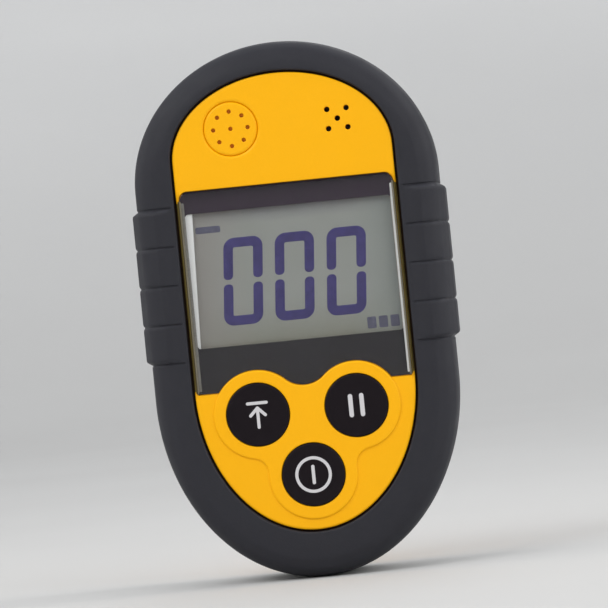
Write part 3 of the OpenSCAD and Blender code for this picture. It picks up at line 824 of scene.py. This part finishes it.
def boot():
    near = [0.06, 0.14, GROOVE_WIDTH / 2, 0.36, 0.45, 0.55, 0.68, 0.9, 1.3]
    ys = [g + side * d for g in grip_grooves() for side in (-1, 1) for d in near]
    ys += list(np.arange(LOW_CENTRE + 1, TOP_CENTRE, 1.15))
    where = stations(110, {round(y, 3) for y in ys if LOW_CENTRE + 0.5 < y < TOP_CENTRE - 0.5})
    sides = [{"left": -1, "right": 1}.get(part, 0) for part, at in where]
    rise = np.array([grip_rise(at) if side else 0 for side, (part, at) in zip(sides, where)])
    cut = [groove_cut(at) if side else 0 for side, (part, at) in zip(sides, where)]
    cut = np.array(cut) * GROOVE_DEPTH
    outward = np.array(sides)[:, None] * [1, 0]
    flank = 4 * rise * (1 - rise)
    lip_r, back_r, back_wall = 0.4, 0.5, 2.05
    shape = Shape()
    mouth = face_oval(-OPENING_GAP, where)
    rings = [shape.ring(mouth, SHOULDER_Z + 0.05)]
    for inward, up, a in quarter(lip_r, 5):
        lip = face_oval(-OPENING_GAP - inward, where)
        rings.append(shape.ring(lip, LIP_Z - lip_r + up, 0.5 * math.sin(2 * a)))
    inner = face_oval(-OPENING_GAP - lip_r, where)
    outer = body_oval(PLAIN_SIDE[0][0], where)
    for u in (0.04, 0.08, 0.12, 0.16, 0.2, 0.26, 0.36, 0.48, 0.6, 0.72, 0.84, 0.92):
        plain = LIP_Z - 0.35 * u * u
        raised = (FRONT_Z - plain) * smooth(u, 0.08, 0.75)
        z = plain + raised * rise - cut * smooth(u, 0.08, 0.16)
        rings.append(shape.ring(inner + (outer - inner) * u, z, flank * smooth(u, 0.08, 0.3)))
    for (plain_in, plain_z), (grip_in, grip_z) in zip(curve(PLAIN_SIDE), curve(GRIP_SIDE)):
        front = smooth(plain_z, LIP_Z - 3, LIP_Z - 0.5)
        out = rise * (plain_in - max(grip_in, -GRIP)) - 0.6 * cut * (1 - front)
        xy = body_oval(max(plain_in, 0), where) + outward * out[:, None]
        z = np.clip(plain_z + (grip_z - plain_z) * rise - cut * front, BACK_Z, FRONT_Z)
        rings.append(shape.ring(xy, z, flank))
    for inward, up, a in quarter(back_r, 5):
        back = body_oval(BACK_LIP - back_r + up, where)
        rings.append(shape.ring(back, BACK_Z + inward, 0.5 * math.sin(2 * a)))
    inside = body_oval(BOOT_WALL - 0.05, where)
    rings += shape.rings((body_oval(BACK_LIP, where), BACK_Z + back_wall), (inside, BACK_Z + back_wall),
                         (inside, SHOULDER_Z + 0.05))
    shape.bridge([rings[0]] + rings[::-1])
    shape.piece("rubber_boot_skin", RUBBER, "boot_rubber", ["rubber_boot"], sharp=60)


# ---------------------------------------------------------------- case
def case_half(shape, roof_z, side_z, shoulder_z, top_oval, top_z, rim, where, margin=0.15):
    """Rings of a case half from under its roof, down inside, round its rim and up to its flat top."""
    roof, top = top_oval(CASE_WALL), top_oval(0)
    inside, outside = body_oval(BOOT_WALL + CASE_SIDE, where), body_oval(BOOT_WALL, where)
    return shape.rings((roof, roof_z), (roof, side_z), (inside, side_z), (inside, 0), (outside, 0),
                       (outside, shoulder_z), (top, shoulder_z)) + shape.edge(top, top_z, rim, 6, margin)


def hole(shape, outline, low_z, top_z, r):
    """Rings of a hole right through, from below to its rounded top edge."""
    outline = outline[::-1]
    return [shape.ring(outline, low_z)] + shape.edge(outline, top_z, r, 3)


def pocket(shape, outline, floor_z, top_z, r, floor_r=0.1):
    """Rings of a blind pocket with its floor filled in."""
    outline = outline[::-1]
    rings = shape.rings((inset(outline, -floor_r - 0.05), floor_z), (inset(outline, -floor_r), floor_z),
                        (outline, floor_z + floor_r)) + shape.edge(outline, top_z, r, 3)
    shape.cap([rings[0]])
    return rings


def plateau(shape):
    """The raised pads round the keys: a soft step on the face, an upright wall along the lens."""
    line = keypad_outline(-0.03)
    by_lens = smooth(line[:, 1], LENS_LOW[1] - 1.2, LENS_LOW[1] - 0.1)
    step = PAD_Z - FACE_Z
    free = [(0.26, -0.3), (0.26, 0), (0.15, 0.05), (0.06, 0.2), (0, 0.45), (-0.07, 0.75), (-0.18, 0.94),
            (-0.36, 1)]
    upright = [(0, 12.8), (0, 13.9), (0, 14.4), (0, 14.82), (-0.04, 14.95), (-0.11, 15.05),
               (-0.22, PAD_Z), (-0.5, PAD_Z)]
    rings = []
    for k, ((free_out, free_up), (lens_out, lens_z)) in enumerate(zip(free, upright)):
        out = free_out + (lens_out - free_out) * by_lens
        free_z = FACE_Z + (step * free_up if free_up > 0 else free_up)
        z = free_z + (lens_z - free_z) * by_lens
        rings.append(shape.ring(inset(line, -out), z, 0.5 if k in (4, 5, 6) else 0))
    rings.append(shape.ring(inset(line, 0.7), PAD_Z))
    holes = [hole(shape, circle(spot, KEY_HOLE_R, 96), ROOF_Z - 0.3, PAD_Z, 0.22) for spot in KEYS.values()]
    shape.closed([rings] + holes)


def beside_lens(points):
    """1 on the narrow ledges left and right of the lens, 0 on the rest of the face."""
    y = points[:, 1]
    return (smooth(abs(points[:, 0]), 23.4, 23.9) * smooth(y, LENS_LOW[1] + 0.2, LENS_LOW[1] + 1.4)
            * (1 - smooth(y, LENS_HIGH[1] - 3, LENS_HIGH[1] - 1.8)))


def front_case():
    """The face sinks to two low ledges beside the lens, painted a dark olive yellow as shade; the joint round
    the face is painted dark brown as shade.
    """
    ends = [LENS_LOW[1] + 0.8, LENS_LOW[1] + 1.4, LENS_HIGH[1] - 3, LENS_HIGH[1] - 2.4]
    where = case_stations(ends)
    seat_z = PRINT_LOW[2]
    shape = Shape()
    side = beside_lens(face_oval(0, where))
    face_z = FACE_Z - LEDGE_DROP * side
    rim = 0.55 - 0.33 * side
    outer = case_half(shape, ROOF_Z, SIDE_ROOF_Z, SHOULDER_Z, lambda i: face_oval(i, where), face_z, rim,
                      where, 0.15 - 0.1 * side)
    lens_hole = lens_outline(0.06)[::-1]
    seat = [shape.ring(lens_hole, seat_z)]
    seat += shape.edge(lens_hole, FACE_Z - LEDGE_DROP * beside_lens(lens_hole), 0.12, 3, margin=0.05)
    window = rectangle(-VIEW_HALF - 0.15, VIEW_HALF + 0.15, VIEW_LOW - 0.4, VIEW_TOP + 0.4, 0.5)[::-1]
    window = shape.rings((window, ROOF_Z), (window, seat_z))
    holes = [hole(shape, circle(spot, KEY_HOLE_R + 0.3), ROOF_Z, FACE_Z, 0.05) for spot in KEYS.values()]
    holes.append(hole(shape, circle(SENSOR, SENSOR_R + 0.02, 96), ROOF_Z, FACE_Z, 0.6))
    reach, sound_r = 2.15, 0.62
    for dx, dy in ((0, 0), (-reach, -reach), (reach, -reach), (-reach, reach), (reach, reach)):
        holes.append(hole(shape, circle(SOUNDER + [dx, dy], sound_r, 28), ROOF_Z, FACE_Z, 0.14))
    joint_low, joint_high = 5, 9
    for stack in [outer[:joint_low + 1], outer[joint_high:], seat, window] + holes:
        shape.bridge(stack)
    # Slot 2 paints the joint round the face dark brown, as painted shade.
    shape.slot = 2
    shape.bridge(outer[joint_low:joint_high + 1])
    shape.slot = 0
    shape.cap([outer[-1], seat[-1]] + [stack[-1] for stack in holes])
    shape.cap([seat[0], window[-1]])
    shape.cap([outer[0], window[0]] + [stack[0] for stack in holes], up=False)
    plateau(shape)
    # Faces on the low ledges take slot 1, the ledge colour: painted shade.
    points = np.concatenate(shape.points)
    for k, corners in enumerate(shape.faces):
        middle = points[corners].mean(axis=0)
        on_ledge = beside_lens(middle[None] * 1.002)[0] > 0.6
        if shape.slots[k] == 0 and middle[2] > seat_z + 0.05 and on_ledge:
            shape.slots[k] = 1
    shape.piece("front_case", [SHELL, LEDGE_SHADE, JOINT_SHADE], "yellow_shell", ["front_shell"], sharp=50)


def door_recess(door_low, door_high, grow):
    """The opening for the battery door, with a half-moon finger notch at its lower end."""
    x0, x1, y0 = door_low[0] - grow, door_high[0] + grow, door_low[1] - grow
    notch = arc((0, door_low[1] + 1.2), 5.6, 200, 340, 5)
    notch = notch[notch[:, 1] < y0]
    corner, top_corner = 1.4, 0.3
    top = door_high[1] - top_corner + grow
    return np.concatenate([
        arc((x0 + corner, y0 + corner), corner, 180, 270, 15), notch,
        arc((x1 - corner, y0 + corner), corner, 270, 360, 15),
        arc((x1 - top_corner, top), top_corner, 0, 90, 30),
        arc((x0 + top_corner, top), top_corner, 90, 180, 30)])


def rear_case():
    """Drawn with its back up, then turned over."""
    where = case_stations()
    back_z = -BACK_FACE_Z
    door_low, door_high = local_box("battery_door")
    door_low[0], door_high[0] = -DOOR_HALF, DOOR_HALF
    door_floor, ledge_z = back_z - 1.85, back_z - 1
    battery_low, battery_high = local_box("battery")
    x0, x1, y0 = battery_low[0] - 0.35, battery_high[0] + 0.35, battery_low[1] - 0.5
    bay_z, bay_top, mouth_top = -battery_high[2] - 0.2, 8.2, 6.2
    bay = rectangle(x0, x1, y0, bay_top, 0.8)[::-1]
    mouth = rectangle(x0, x1, y0, mouth_top, 0.8)[::-1]
    shape = Shape()
    outer = case_half(shape, back_z - CASE_WALL, back_z - 3.1, back_z - 1.3,
                      lambda i: body_oval(BACK_LIP + 0.3 + i, where), back_z, 0.45, where)
    recess = door_recess(door_low, door_high, DOOR_GAP)[::-1]
    lower = recess.copy()
    lower[:, 1] = np.maximum(lower[:, 1], door_low[1] - DOOR_GAP)
    lower = inset(lower, -0.04)
    steps = shape.rings((lower, door_floor), (lower, ledge_z), (recess, ledge_z))
    steps += shape.edge(recess, back_z, 0.25, 4)
    mouth_z = door_floor - 0.1
    bay_in = shape.rings((bay, bay_z), (bay, mouth_z), (mouth, mouth_z), (mouth, door_floor))
    bay_out = inset(bay[::-1], -CASE_WALL)[::-1]
    bay_out = shape.rings((bay_out, back_z - CASE_WALL), (bay_out, bay_z - 1))
    screws = [pocket(shape, circle(spot, 3.0, 48), back_z - 2.25, back_z, 0.25) for spot in screw_centres()]
    for stack in [outer, steps, bay_in] + screws + [bay_out]:
        shape.bridge(stack)
    shape.cap([bay_in[0]])
    shape.cap([bay_out[-1]], up=False)
    shape.cap([steps[0], bay_in[-1]])
    shape.cap([outer[-1], steps[-1]] + [stack[-1] for stack in screws])
    shape.cap([outer[0], bay_out[0]], up=False)
    shape.turned_over().piece("rear_case", SHELL, "yellow_shell", ["rear_shell"], sharp=50)


def screw_centres():
    """The lower pair sits 1.5 mm further in than the upper one."""
    low, high = local_box("case_screws")
    out, up, down = high[0] - SCREW_R, high[1] - SCREW_R, low[1] + SCREW_R
    return [(side * x, y) for side in (-1, 1) for x, y in ((out, up), (out - 1.5, down))]


def case_screws():
    """Cross-head screws with domed heads; the cross is a tapered pocket."""
    low, high = local_box("case_screws")
    head_top, head_low, shank_top = -low[2], -low[2] - 1.95, high[2]
    arm, wide = 1.5, 0.36
    cross = [(wide, -arm), (wide, -wide), (arm, -wide), (arm, wide), (wide, wide), (wide, arm),
             (-wide, arm), (-wide, wide), (-arm, wide), (-arm, -wide), (-wide, -wide), (-wide, -arm)]
    radii = [0.2 if max(map(abs, c)) == arm else 0.12 for c in cross]
    shape = Shape()
    for spot in screw_centres():
        slot_line = rounded(np.array(cross) + spot, radii, 30)
        rings = shape.rings((circle(spot, SCREW_R - 0.08), head_low), (circle(spot, SCREW_R), head_low + 0.1))
        for a in np.radians(np.linspace(0, 80, 6)):
            dome = circle(spot, SCREW_R - 0.7 * (1 - math.cos(a)))
            rings.append(shape.ring(dome, head_top - 0.6 + 0.55 * math.sin(a), math.sin(a) * 0.6))
        rings.append(shape.ring(circle(spot, 1.9), head_top, 0.2))
        slot = pocket(shape, slot_line, head_top - 1.1, head_top, 0.06, 0.15)
        shape.closed([rings], [slot])
        shape.add(Shape().plate(circle(spot, 1.45, 32), -shank_top, head_low + 0.05, 0.1, low_r=0.4))
    shape.turned_over().piece("case_screw_set", STEEL, "steel", ["case_screws"])


def battery_door():
    """Drawn with its outside up, then turned over: a plate with a ribbed thumb grip on a round hinge bar."""
    low, high = local_box("battery_door")
    half, back_z, end, pin_r, rib_step = DOOR_HALF, -low[2], -high[0], 0.9, 1.8
    shape = Shape()
    line = rounded([(-half, low[1]), (half, low[1]), (half, HINGE_Y), (-half, HINGE_Y)], [1.3, 1.3, 0.1, 0.1])
    outer = shape.foot(line, back_z - CASE_WALL, 0.2) + shape.edge(line, back_z, 0.35, 5)
    pockets = []
    for i in range(5):
        rib = rectangle(-5, 5, low[1] + 3 + rib_step * i, low[1] + 3.9 + rib_step * i, 0.42)
        pockets.append(pocket(shape, rib, back_z - 0.4, back_z, 0.14))
    panel = rectangle(-half + 3, half - 3, low[1] + 15, HINGE_Y - 4.5, 1.6)
    pockets.append(pocket(shape, panel, back_z - 0.25, back_z, 0.15))
    shape.closed([outer], pockets)
    bar_line = [(0, end), (pin_r - 0.2, end), (pin_r, end + 0.2), (pin_r, -half), (HINGE_R - 0.15, -half),
                (HINGE_R, -half + 0.15)]
    bar_line += [(r, -x) for r, x in reversed(bar_line)]
    along_x = Matrix(((0, 0, 1, 0), (0, 1, 0, HINGE_Y), (-1, 0, 0, back_z - HINGE_R), (0, 0, 0, 1)))
    shape.add(Shape().lathe(bar_line, (0, 0), 40).moved(along_x))
    shape.turned_over()
    shape.piece("battery_door_cover", SHELL, "yellow_shell", ["battery_door"], "battery_door", 50)


def door_pad():
    low, high = local_box("door_foam")
    line = rectangle(low[0], high[0], low[1], high[1], 1.0)
    shape = Shape().plate(line, -high[2], -low[2], 0.2, low_r=0.02).turned_over()
    pad = shape.piece("door_foam_pad", FOAM, "soft_foam", ["door_foam"], "battery_door")


# ---------------------------------------------------------------- display
def lens():
    """Clear window with a rounded border; its sides, painted with reflection and shade, and its top edge,
    painted black as shade, are slots of their own.
    """
    shape = Shape()
    line = lens_outline(0)
    shape.closed([shape.foot(line, LENS_LOW[2], 0.05) + shape.edge(line, LENS_HIGH[2], 0.5, 6)])
    points = np.concatenate(shape.points)
    for k, corners in enumerate(shape.faces):
        middle = points[corners].mean(axis=0)
        # The side faces take the rim colour: painted reflection and shade.
        if abs(middle[0]) > LENS_HIGH[0] - 0.45 and middle[1] < LENS_HIGH[1] - 2:
            shape.slots[k] = 1
        # The top edge faces take the black key colour: a painted shade line.
        if middle[1] > LENS_HIGH[1] - 0.42 and middle[2] > LENS_LOW[2] + 0.1:
            shape.slots[k] = 2
    shape.piece("lens_window", [LENS, RIM_PAINTED_LIGHT, KEY], "clear_lens", ["display_lens"])


def lens_border():
    """The dark print behind the lens, with its window, and the bare pale strips down its sides; the white one
    on the right is a painted glint where light catches the lens's step.
    """
    window = rectangle(-VIEW_HALF, VIEW_HALF, VIEW_LOW, VIEW_TOP, 0.7)
    low_z, high_z = PRINT_LOW[2] + 0.01, PRINT_HIGH[2] - 0.02
    shape = Shape().plate(lens_outline(-0.1), low_z, high_z, 0.03, [(window, 0.03)], 0.03)
    shape.piece("lens_border_print", PRINT, "lens_print", ["lens_mask"])
    edge = LENS_HIGH[0] - 0.12
    foot, head = LENS_LOW[1] + 0.7, LENS_HIGH[1] - 2.4
    # The right strip's white is a painted glint.
    strips = {"left": (-edge, -VIEW_HALF, STRIP), "right": (VIEW_HALF, edge - 0.3, DIFFUSER_AND_GLINT)}
    for name, (x0, x1, material) in strips.items():
        strip = Shape().plate(rectangle(x0, x1, foot, head, 0.2), low_z, PRINT_HIGH[2] - 0.005, 0.03)
        strip.piece("lens_side_strip_" + name, material, "lens_print")


def screen():
    line = rectangle(LCD_LOW[0], LCD_HIGH[0], LCD_LOW[1], LCD_HIGH[1], 0.4)
    shape = Shape().plate(line, LCD_LOW[2], LCD_HIGH[2], 0.03, low_r=0.03)
    shape.piece("display_film", FILM, "lcd_film", ["lcd_polarizer"])


def digit(shape, x, y, z0, z1):
    """A seven-segment nought: an upper and a lower hoop with a gap between them, leaning right."""
    half, height, stroke, gap, lean = 4.4, 19.5, 2.15, 1.0, math.tan(math.radians(5))
    leg = (height - gap) / 2
    hollow = half - stroke
    hoop = [(-half, 0), (-hollow, 0), (-hollow, leg - stroke), (hollow, leg - stroke), (hollow, 0), (half, 0),
            (half, leg), (-half, leg)]
    radii = [0.95, 0.95, 0.35, 0.35, 0.95, 0.95, 2.3, 2.3]
    line = rounded(hoop, radii)
    for flip in (1, -1):
        part = (line if flip > 0 else line[::-1] * [1, -1]) + [0, flip * gap / 2]
        part = part + np.stack([part[:, 1] * lean, np.zeros(len(part))], axis=1) + [x, y]
        shape.ink(part, z0, z1, 0.22)


def level_blocks(shape, x, y, z0, z1):
    """Three small blocks under the digits, one for each step of a level scale."""
    wide, tall, pitch = 2.0, 2.6, 2.6
    for k in range(3):
        left = x + pitch * k
        shape.ink(rectangle(left, left + wide, y, y + tall, 0.3), z0, z1)


def readout():
    """What the display shows: three noughts, a level scale and a small marker."""
    z0, z1 = LCD_HIGH[2] - 0.02, LCD_HIGH[2] + 0.03
    digits = Shape()
    for x in (-11.52, 0.0, 11.6):
        digit(digits, x, 7.45, z0, z1)
    digits.piece("readout_digits", INK, "lcd_film")
    faint = Shape()
    level_blocks(faint, 15.1, -5.9, z0, z1)
    faint.ink(rectangle(-21.1, -15.5, 18.75, 20.25, 0.45), z0, z1)
    faint.piece("readout_marks", FAINT_INK, "lcd_film")


def light_strip():
    """Edges of the display's diffuser: a white wedge left of the glass and a grey wall right of it."""
    top, low = VIEW_TOP + 0.3, VIEW_LOW - 0.3
    z0, z1 = LCD_HIGH[2] - 0.05, PRINT_LOW[2] - 0.03
    left = -VIEW_HALF - 0.25
    wedge = np.array([(left, low), (-22.4, low), (-21.4, top), (left, top)])
    Shape().plate(wedge, z0, z1).piece("diffuser_edge", DIFFUSER_AND_GLINT, "white_plastic")
    wall = rectangle(VIEW_HALF - 0.2, VIEW_HALF + 0.12, low, top, 0.05)
    Shape().plate(wall, z0, z1, 0.03, margin=0.05).piece("diffuser_wall", STRIP, "white_plastic")


# ---------------------------------------------------------------- keys
# Each stroke that crosses another is this much higher, so that their faces don't coincide
OVERLAP = 0.002


def peak_sign(shape, x, y, z0, z1):
    """Peak reading: an arrow that rises to a bar."""
    half, top, low, stroke = 2.1, 2.6, -2.8, 0.7
    tip, barb = top - 1.1, 1.65
    strokes = [((-half, top), (half, top)), ((0, low), (0, tip)), ((-barb, tip - barb), (0, tip)),
               ((barb, tip - barb), (0, tip))]
    for k, (a, b) in enumerate(strokes):
        line = bar((x + a[0], y + a[1]), (x + b[0], y + b[1]), stroke)
        shape.ink(line, z0, z1 + OVERLAP * k, 0.05)


def freeze_sign(shape, x, y, z0, z1):
    """Reading held still: two upright bars."""
    apart, half, stroke = 1.25, 2.1, 1.0
    for side in (-1, 1):
        line = bar((x + side * apart, y - half), (x + side * apart, y + half), stroke)
        shape.ink(line, z0, z1, 0.05)


def power_sign(shape, x, y, z0, z1):
    """On and off: a bar in a ring."""
    ring, stroke, half = 3.72, 0.7, 1.8
    inner = circle((x, y), ring - stroke / 2, 96)
    shape.plate(circle((x, y), ring + stroke / 2, 96), z0, z1, 0.02, [(inner, 0.02)], 0.01, 2, 0.1)
    shape.ink(bar((x, y - half), (x, y + half), 0.75), z0, z1)


SIGNS = {"max": peak_sign, "hold": freeze_sign, "power": power_sign}


def key(name):
    """A turned key: stem, flange under the shell, and a flat cap with a small rounded edge."""
    low, high = local_box("button_" + name)
    x, y = KEYS[name]
    top, flange_top, edge, stem_r = high[2], ROOF_Z - 0.05, 0.3, 2
    flange_low, flange_r = flange_top - 0.7, (high[0] - low[0]) / 2
    line = [(0, low[2]), (stem_r - 0.15, low[2]), (stem_r, low[2] + 0.15), (stem_r, flange_low),
            (flange_r - 0.1, flange_low), (flange_r, flange_low + 0.1), (flange_r, flange_top - 0.1),
            (flange_r - 0.1, flange_top), (KEY_R + 0.1, flange_top), (KEY_R, flange_top + 0.1)]
    wear = [0] * len(line)
    for inward, up, a in quarter(edge, 6):
        line.append((KEY_R - inward, top - edge + up))
        wear.append(rubbing(a))
    line += [(KEY_R - edge - 0.2, top), (0, top)]
    wear += [0, 0]
    body = name + "_button"
    shape = Shape().lathe(line, (x, y), 128, wear)
    shape.piece("key_" + name, KEY, "button_black", ["button_" + name], body, 50)
    sign = Shape()
    SIGNS[name](sign, x, y, top - 0.03, top + 0.012)
    sign.piece("legend_" + name, LEGEND, "lens_print", body=body)


# ---------------------------------------------------------------- sensor and battery
def sensor_grille():
    """A round cap with a hole in its middle and a ring of eight."""
    low, high = local_box("sensor_cap")
    ring_r, hole_r, count = 3.85, 0.47, 8
    holes = [(circle(spot, hole_r, 24), 0.12) for spot in (SENSOR, *circle(SENSOR, ring_r, count))]
    shape = Shape().plate(circle(SENSOR, SENSOR_R, 120), low[2], high[2], 0.6, holes, steps=6)
    shape.piece("sensor_grille", SHELL, "yellow_shell", ["sensor_cap"], sharp=50)


def battery():
    """Nine-volt block: a rounded jacket with rolled end caps and plain plus and minus signs."""
    low, high = local_box("battery")
    line = rectangle(low[0], high[0], low[2], high[2], 2.0)
    shape = Shape()
    end = [(0.9, 0), (0.35, 0.12), (0, 0.5), (0, 1.0), (0.22, 1.15), (0.22, 1.5), (0, 1.65)]
    length = high[1] - low[1]
    steps = end + [(d, length - z) for d, z in reversed(end)]
    shape.closed([[shape.ring(inset(line, d), z, 0.5 if 0 < d < 0.5 else 0) for d, z in steps]])
    along_y = Matrix(((1, 0, 0, 0), (0, 0, 1, low[1]), (0, -1, 0, low[2] + high[2]), (0, 0, 0, 1)))
    shape.moved(along_y).piece("battery_block", JACKET, "battery_case", ["battery"])
    signs = Shape()
    x, y, z, half = 6.35, high[1] - 6.5, -low[2], 1.65
    strokes = [((-x - half, y), (half - x, y)), ((x - half, y), (x + half, y)),
               ((x, y - half), (x, y + half))]
    for k, (a, b) in enumerate(strokes):
        signs.ink(bar(a, b, 0.8), z - 0.05, z + 0.03 + OVERLAP * (k == 2))
    signs.turned_over().piece("battery_signs", LEGEND, "battery_case")


# ---------------------------------------------------------------- pieces kept from the frame
ROUND_EDGES = {
    "battery_snap": 0.5, "battery_terminals": 0.25, "battery_socket": 0.25, "lcd_frame": 0.2,
    "main_pcb": 0.12, "microcontroller": 0.12, "sensor_cell": 0.3, "sensor_board": 0.12, "buzzer": 0.3,
    "crystal": 0.25, "capacitors": 0.3, "trimmers": 0.2, "pcb_screws": 0.15, "keypad_mat": 0.15,
    "zebra_strips": 0.15, "screw_inserts": 0.1, "sensor_gasket": 0.1, "buzzer_gasket": 0.06,
    "sensor_pins": 0.15, "dust_filter": 0.05, "lcd_glass": 0.08, "snap_domes": 0.04}


def dress_frame():
    """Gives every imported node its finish, and rounds the edges of those that stay."""
    for name, obj in frame["nodes"].items():
        for slot in obj.material_slots:
            finish = CAD_FINISHES[slot.material.name.split(".")[0]]
            slot.material = FILTER if name == "dust_filter" else finish
        if name in ROUND_EDGES:
            weld = obj.modifiers.new("weld", "WELD")
            weld.merge_threshold = 1e-6
            round_off = obj.modifiers.new("round_edges", "BEVEL")
            round_off.width = ROUND_EDGES[name] * MM
            round_off.segments = 3
            round_off.limit_method = "ANGLE"
            round_off.angle_limit = math.radians(40)
            obj.modifiers.new("even_normals", "WEIGHTED_NORMAL").keep_sharp = True


# ---------------------------------------------------------------- studio
def stage():
    """A pale floor that curves up into a wall all round, open at the top."""
    flat, bend, top, count = 1100, 1300, 2100, 96
    line = [(1, 0), (300, 0), (700, 0), (flat, 0)]
    line += [(flat + bend * math.sin(a), bend * (1 - math.cos(a))) for a in np.radians(np.arange(6, 91, 6))]
    line.append((flat + bend, top))
    shape = Shape()
    rings = []
    for r, up in line:
        x, back = circle((0, 0), r, count).T
        rings.append(shape.ring(np.column_stack([x, np.full(count, FLOOR_Z + up)]), -back))
    shape.bridge(rings)
    shape.face(rings[0])
    shape.made("studio_floor", [PAPER])


def soft_light(name, place, size, watts, spread=180):
    """A rectangular lamp aimed at the meter."""
    lamp = bpy.data.lights.new(name, "AREA")
    lamp.shape = "RECTANGLE"
    lamp.size, lamp.size_y = size
    lamp.energy = watts
    lamp.spread = math.radians(spread)
    obj = placed(name, lamp)
    obj.location = place
    obj.rotation_euler = (-Vector(place)).to_track_quat("-Z", "Y").to_euler()


def lights():
    """The side strips are shaded, so that they don't burn out the floor beside them."""
    soft_light("key", (-0.75, -0.9, 0.95), (0.9, 0.9), 9)
    soft_light("fill", (0.95, -0.85, 0.52), (0.8, 0.9), 4.5)
    soft_light("left_strip", (-0.8, 0.02, 0.42), (0.22, 0.8), 0.42, 90)
    soft_light("right_strip", (0.8, 0.02, 0.42), (0.22, 0.8), 0.84, 90)
    soft_light("back", (0.3, 1.1, 0.9), (1.0, 0.8), 3)
    sky = bpy.data.worlds.new("studio")
    sky.use_nodes = True
    air = sky.node_tree.nodes["Background"].inputs
    air["Color"].default_value = (0.92, 0.95, 1.0, 1)
    air["Strength"].default_value = 0.8
    bpy.context.scene.world = sky
    bpy.context.scene.view_settings.view_transform = "Standard"


def camera():
    """Straight on from a little to the right, rolled so that the sensor end leans left."""
    turn, roll = math.radians(3), math.radians(5.65)
    lens_mm, distance = 240, 0.9
    back = Vector((math.sin(turn), -math.cos(turn), 0))
    level = Vector((math.cos(turn), math.sin(turn), 0))
    right = level * math.cos(roll) - Vector((0, 0, 1)) * math.sin(roll)
    up = level * math.sin(roll) + Vector((0, 0, 1)) * math.cos(roll)
    aim = right * 0.71 * MM + up * 1.04 * MM
    data = bpy.data.cameras.new("camera")
    data.lens, data.sensor_width = lens_mm, 36
    data.clip_start, data.clip_end = 0.01, 20
    cam = placed("camera", data)
    place = Matrix.Translation(aim + back * (distance + FACE_Z * MM))
    cam.matrix_world = place @ Matrix((right, up, back)).transposed().to_4x4()
    bpy.context.scene.camera = cam


dress_frame()
boot()
front_case()
rear_case()
case_screws()
battery_door()
door_pad()
lens()
lens_border()
screen()
readout()
light_strip()
for key_name in KEYS:
    key(key_name)
sensor_grille()
battery()
stage()
lights()
camera()
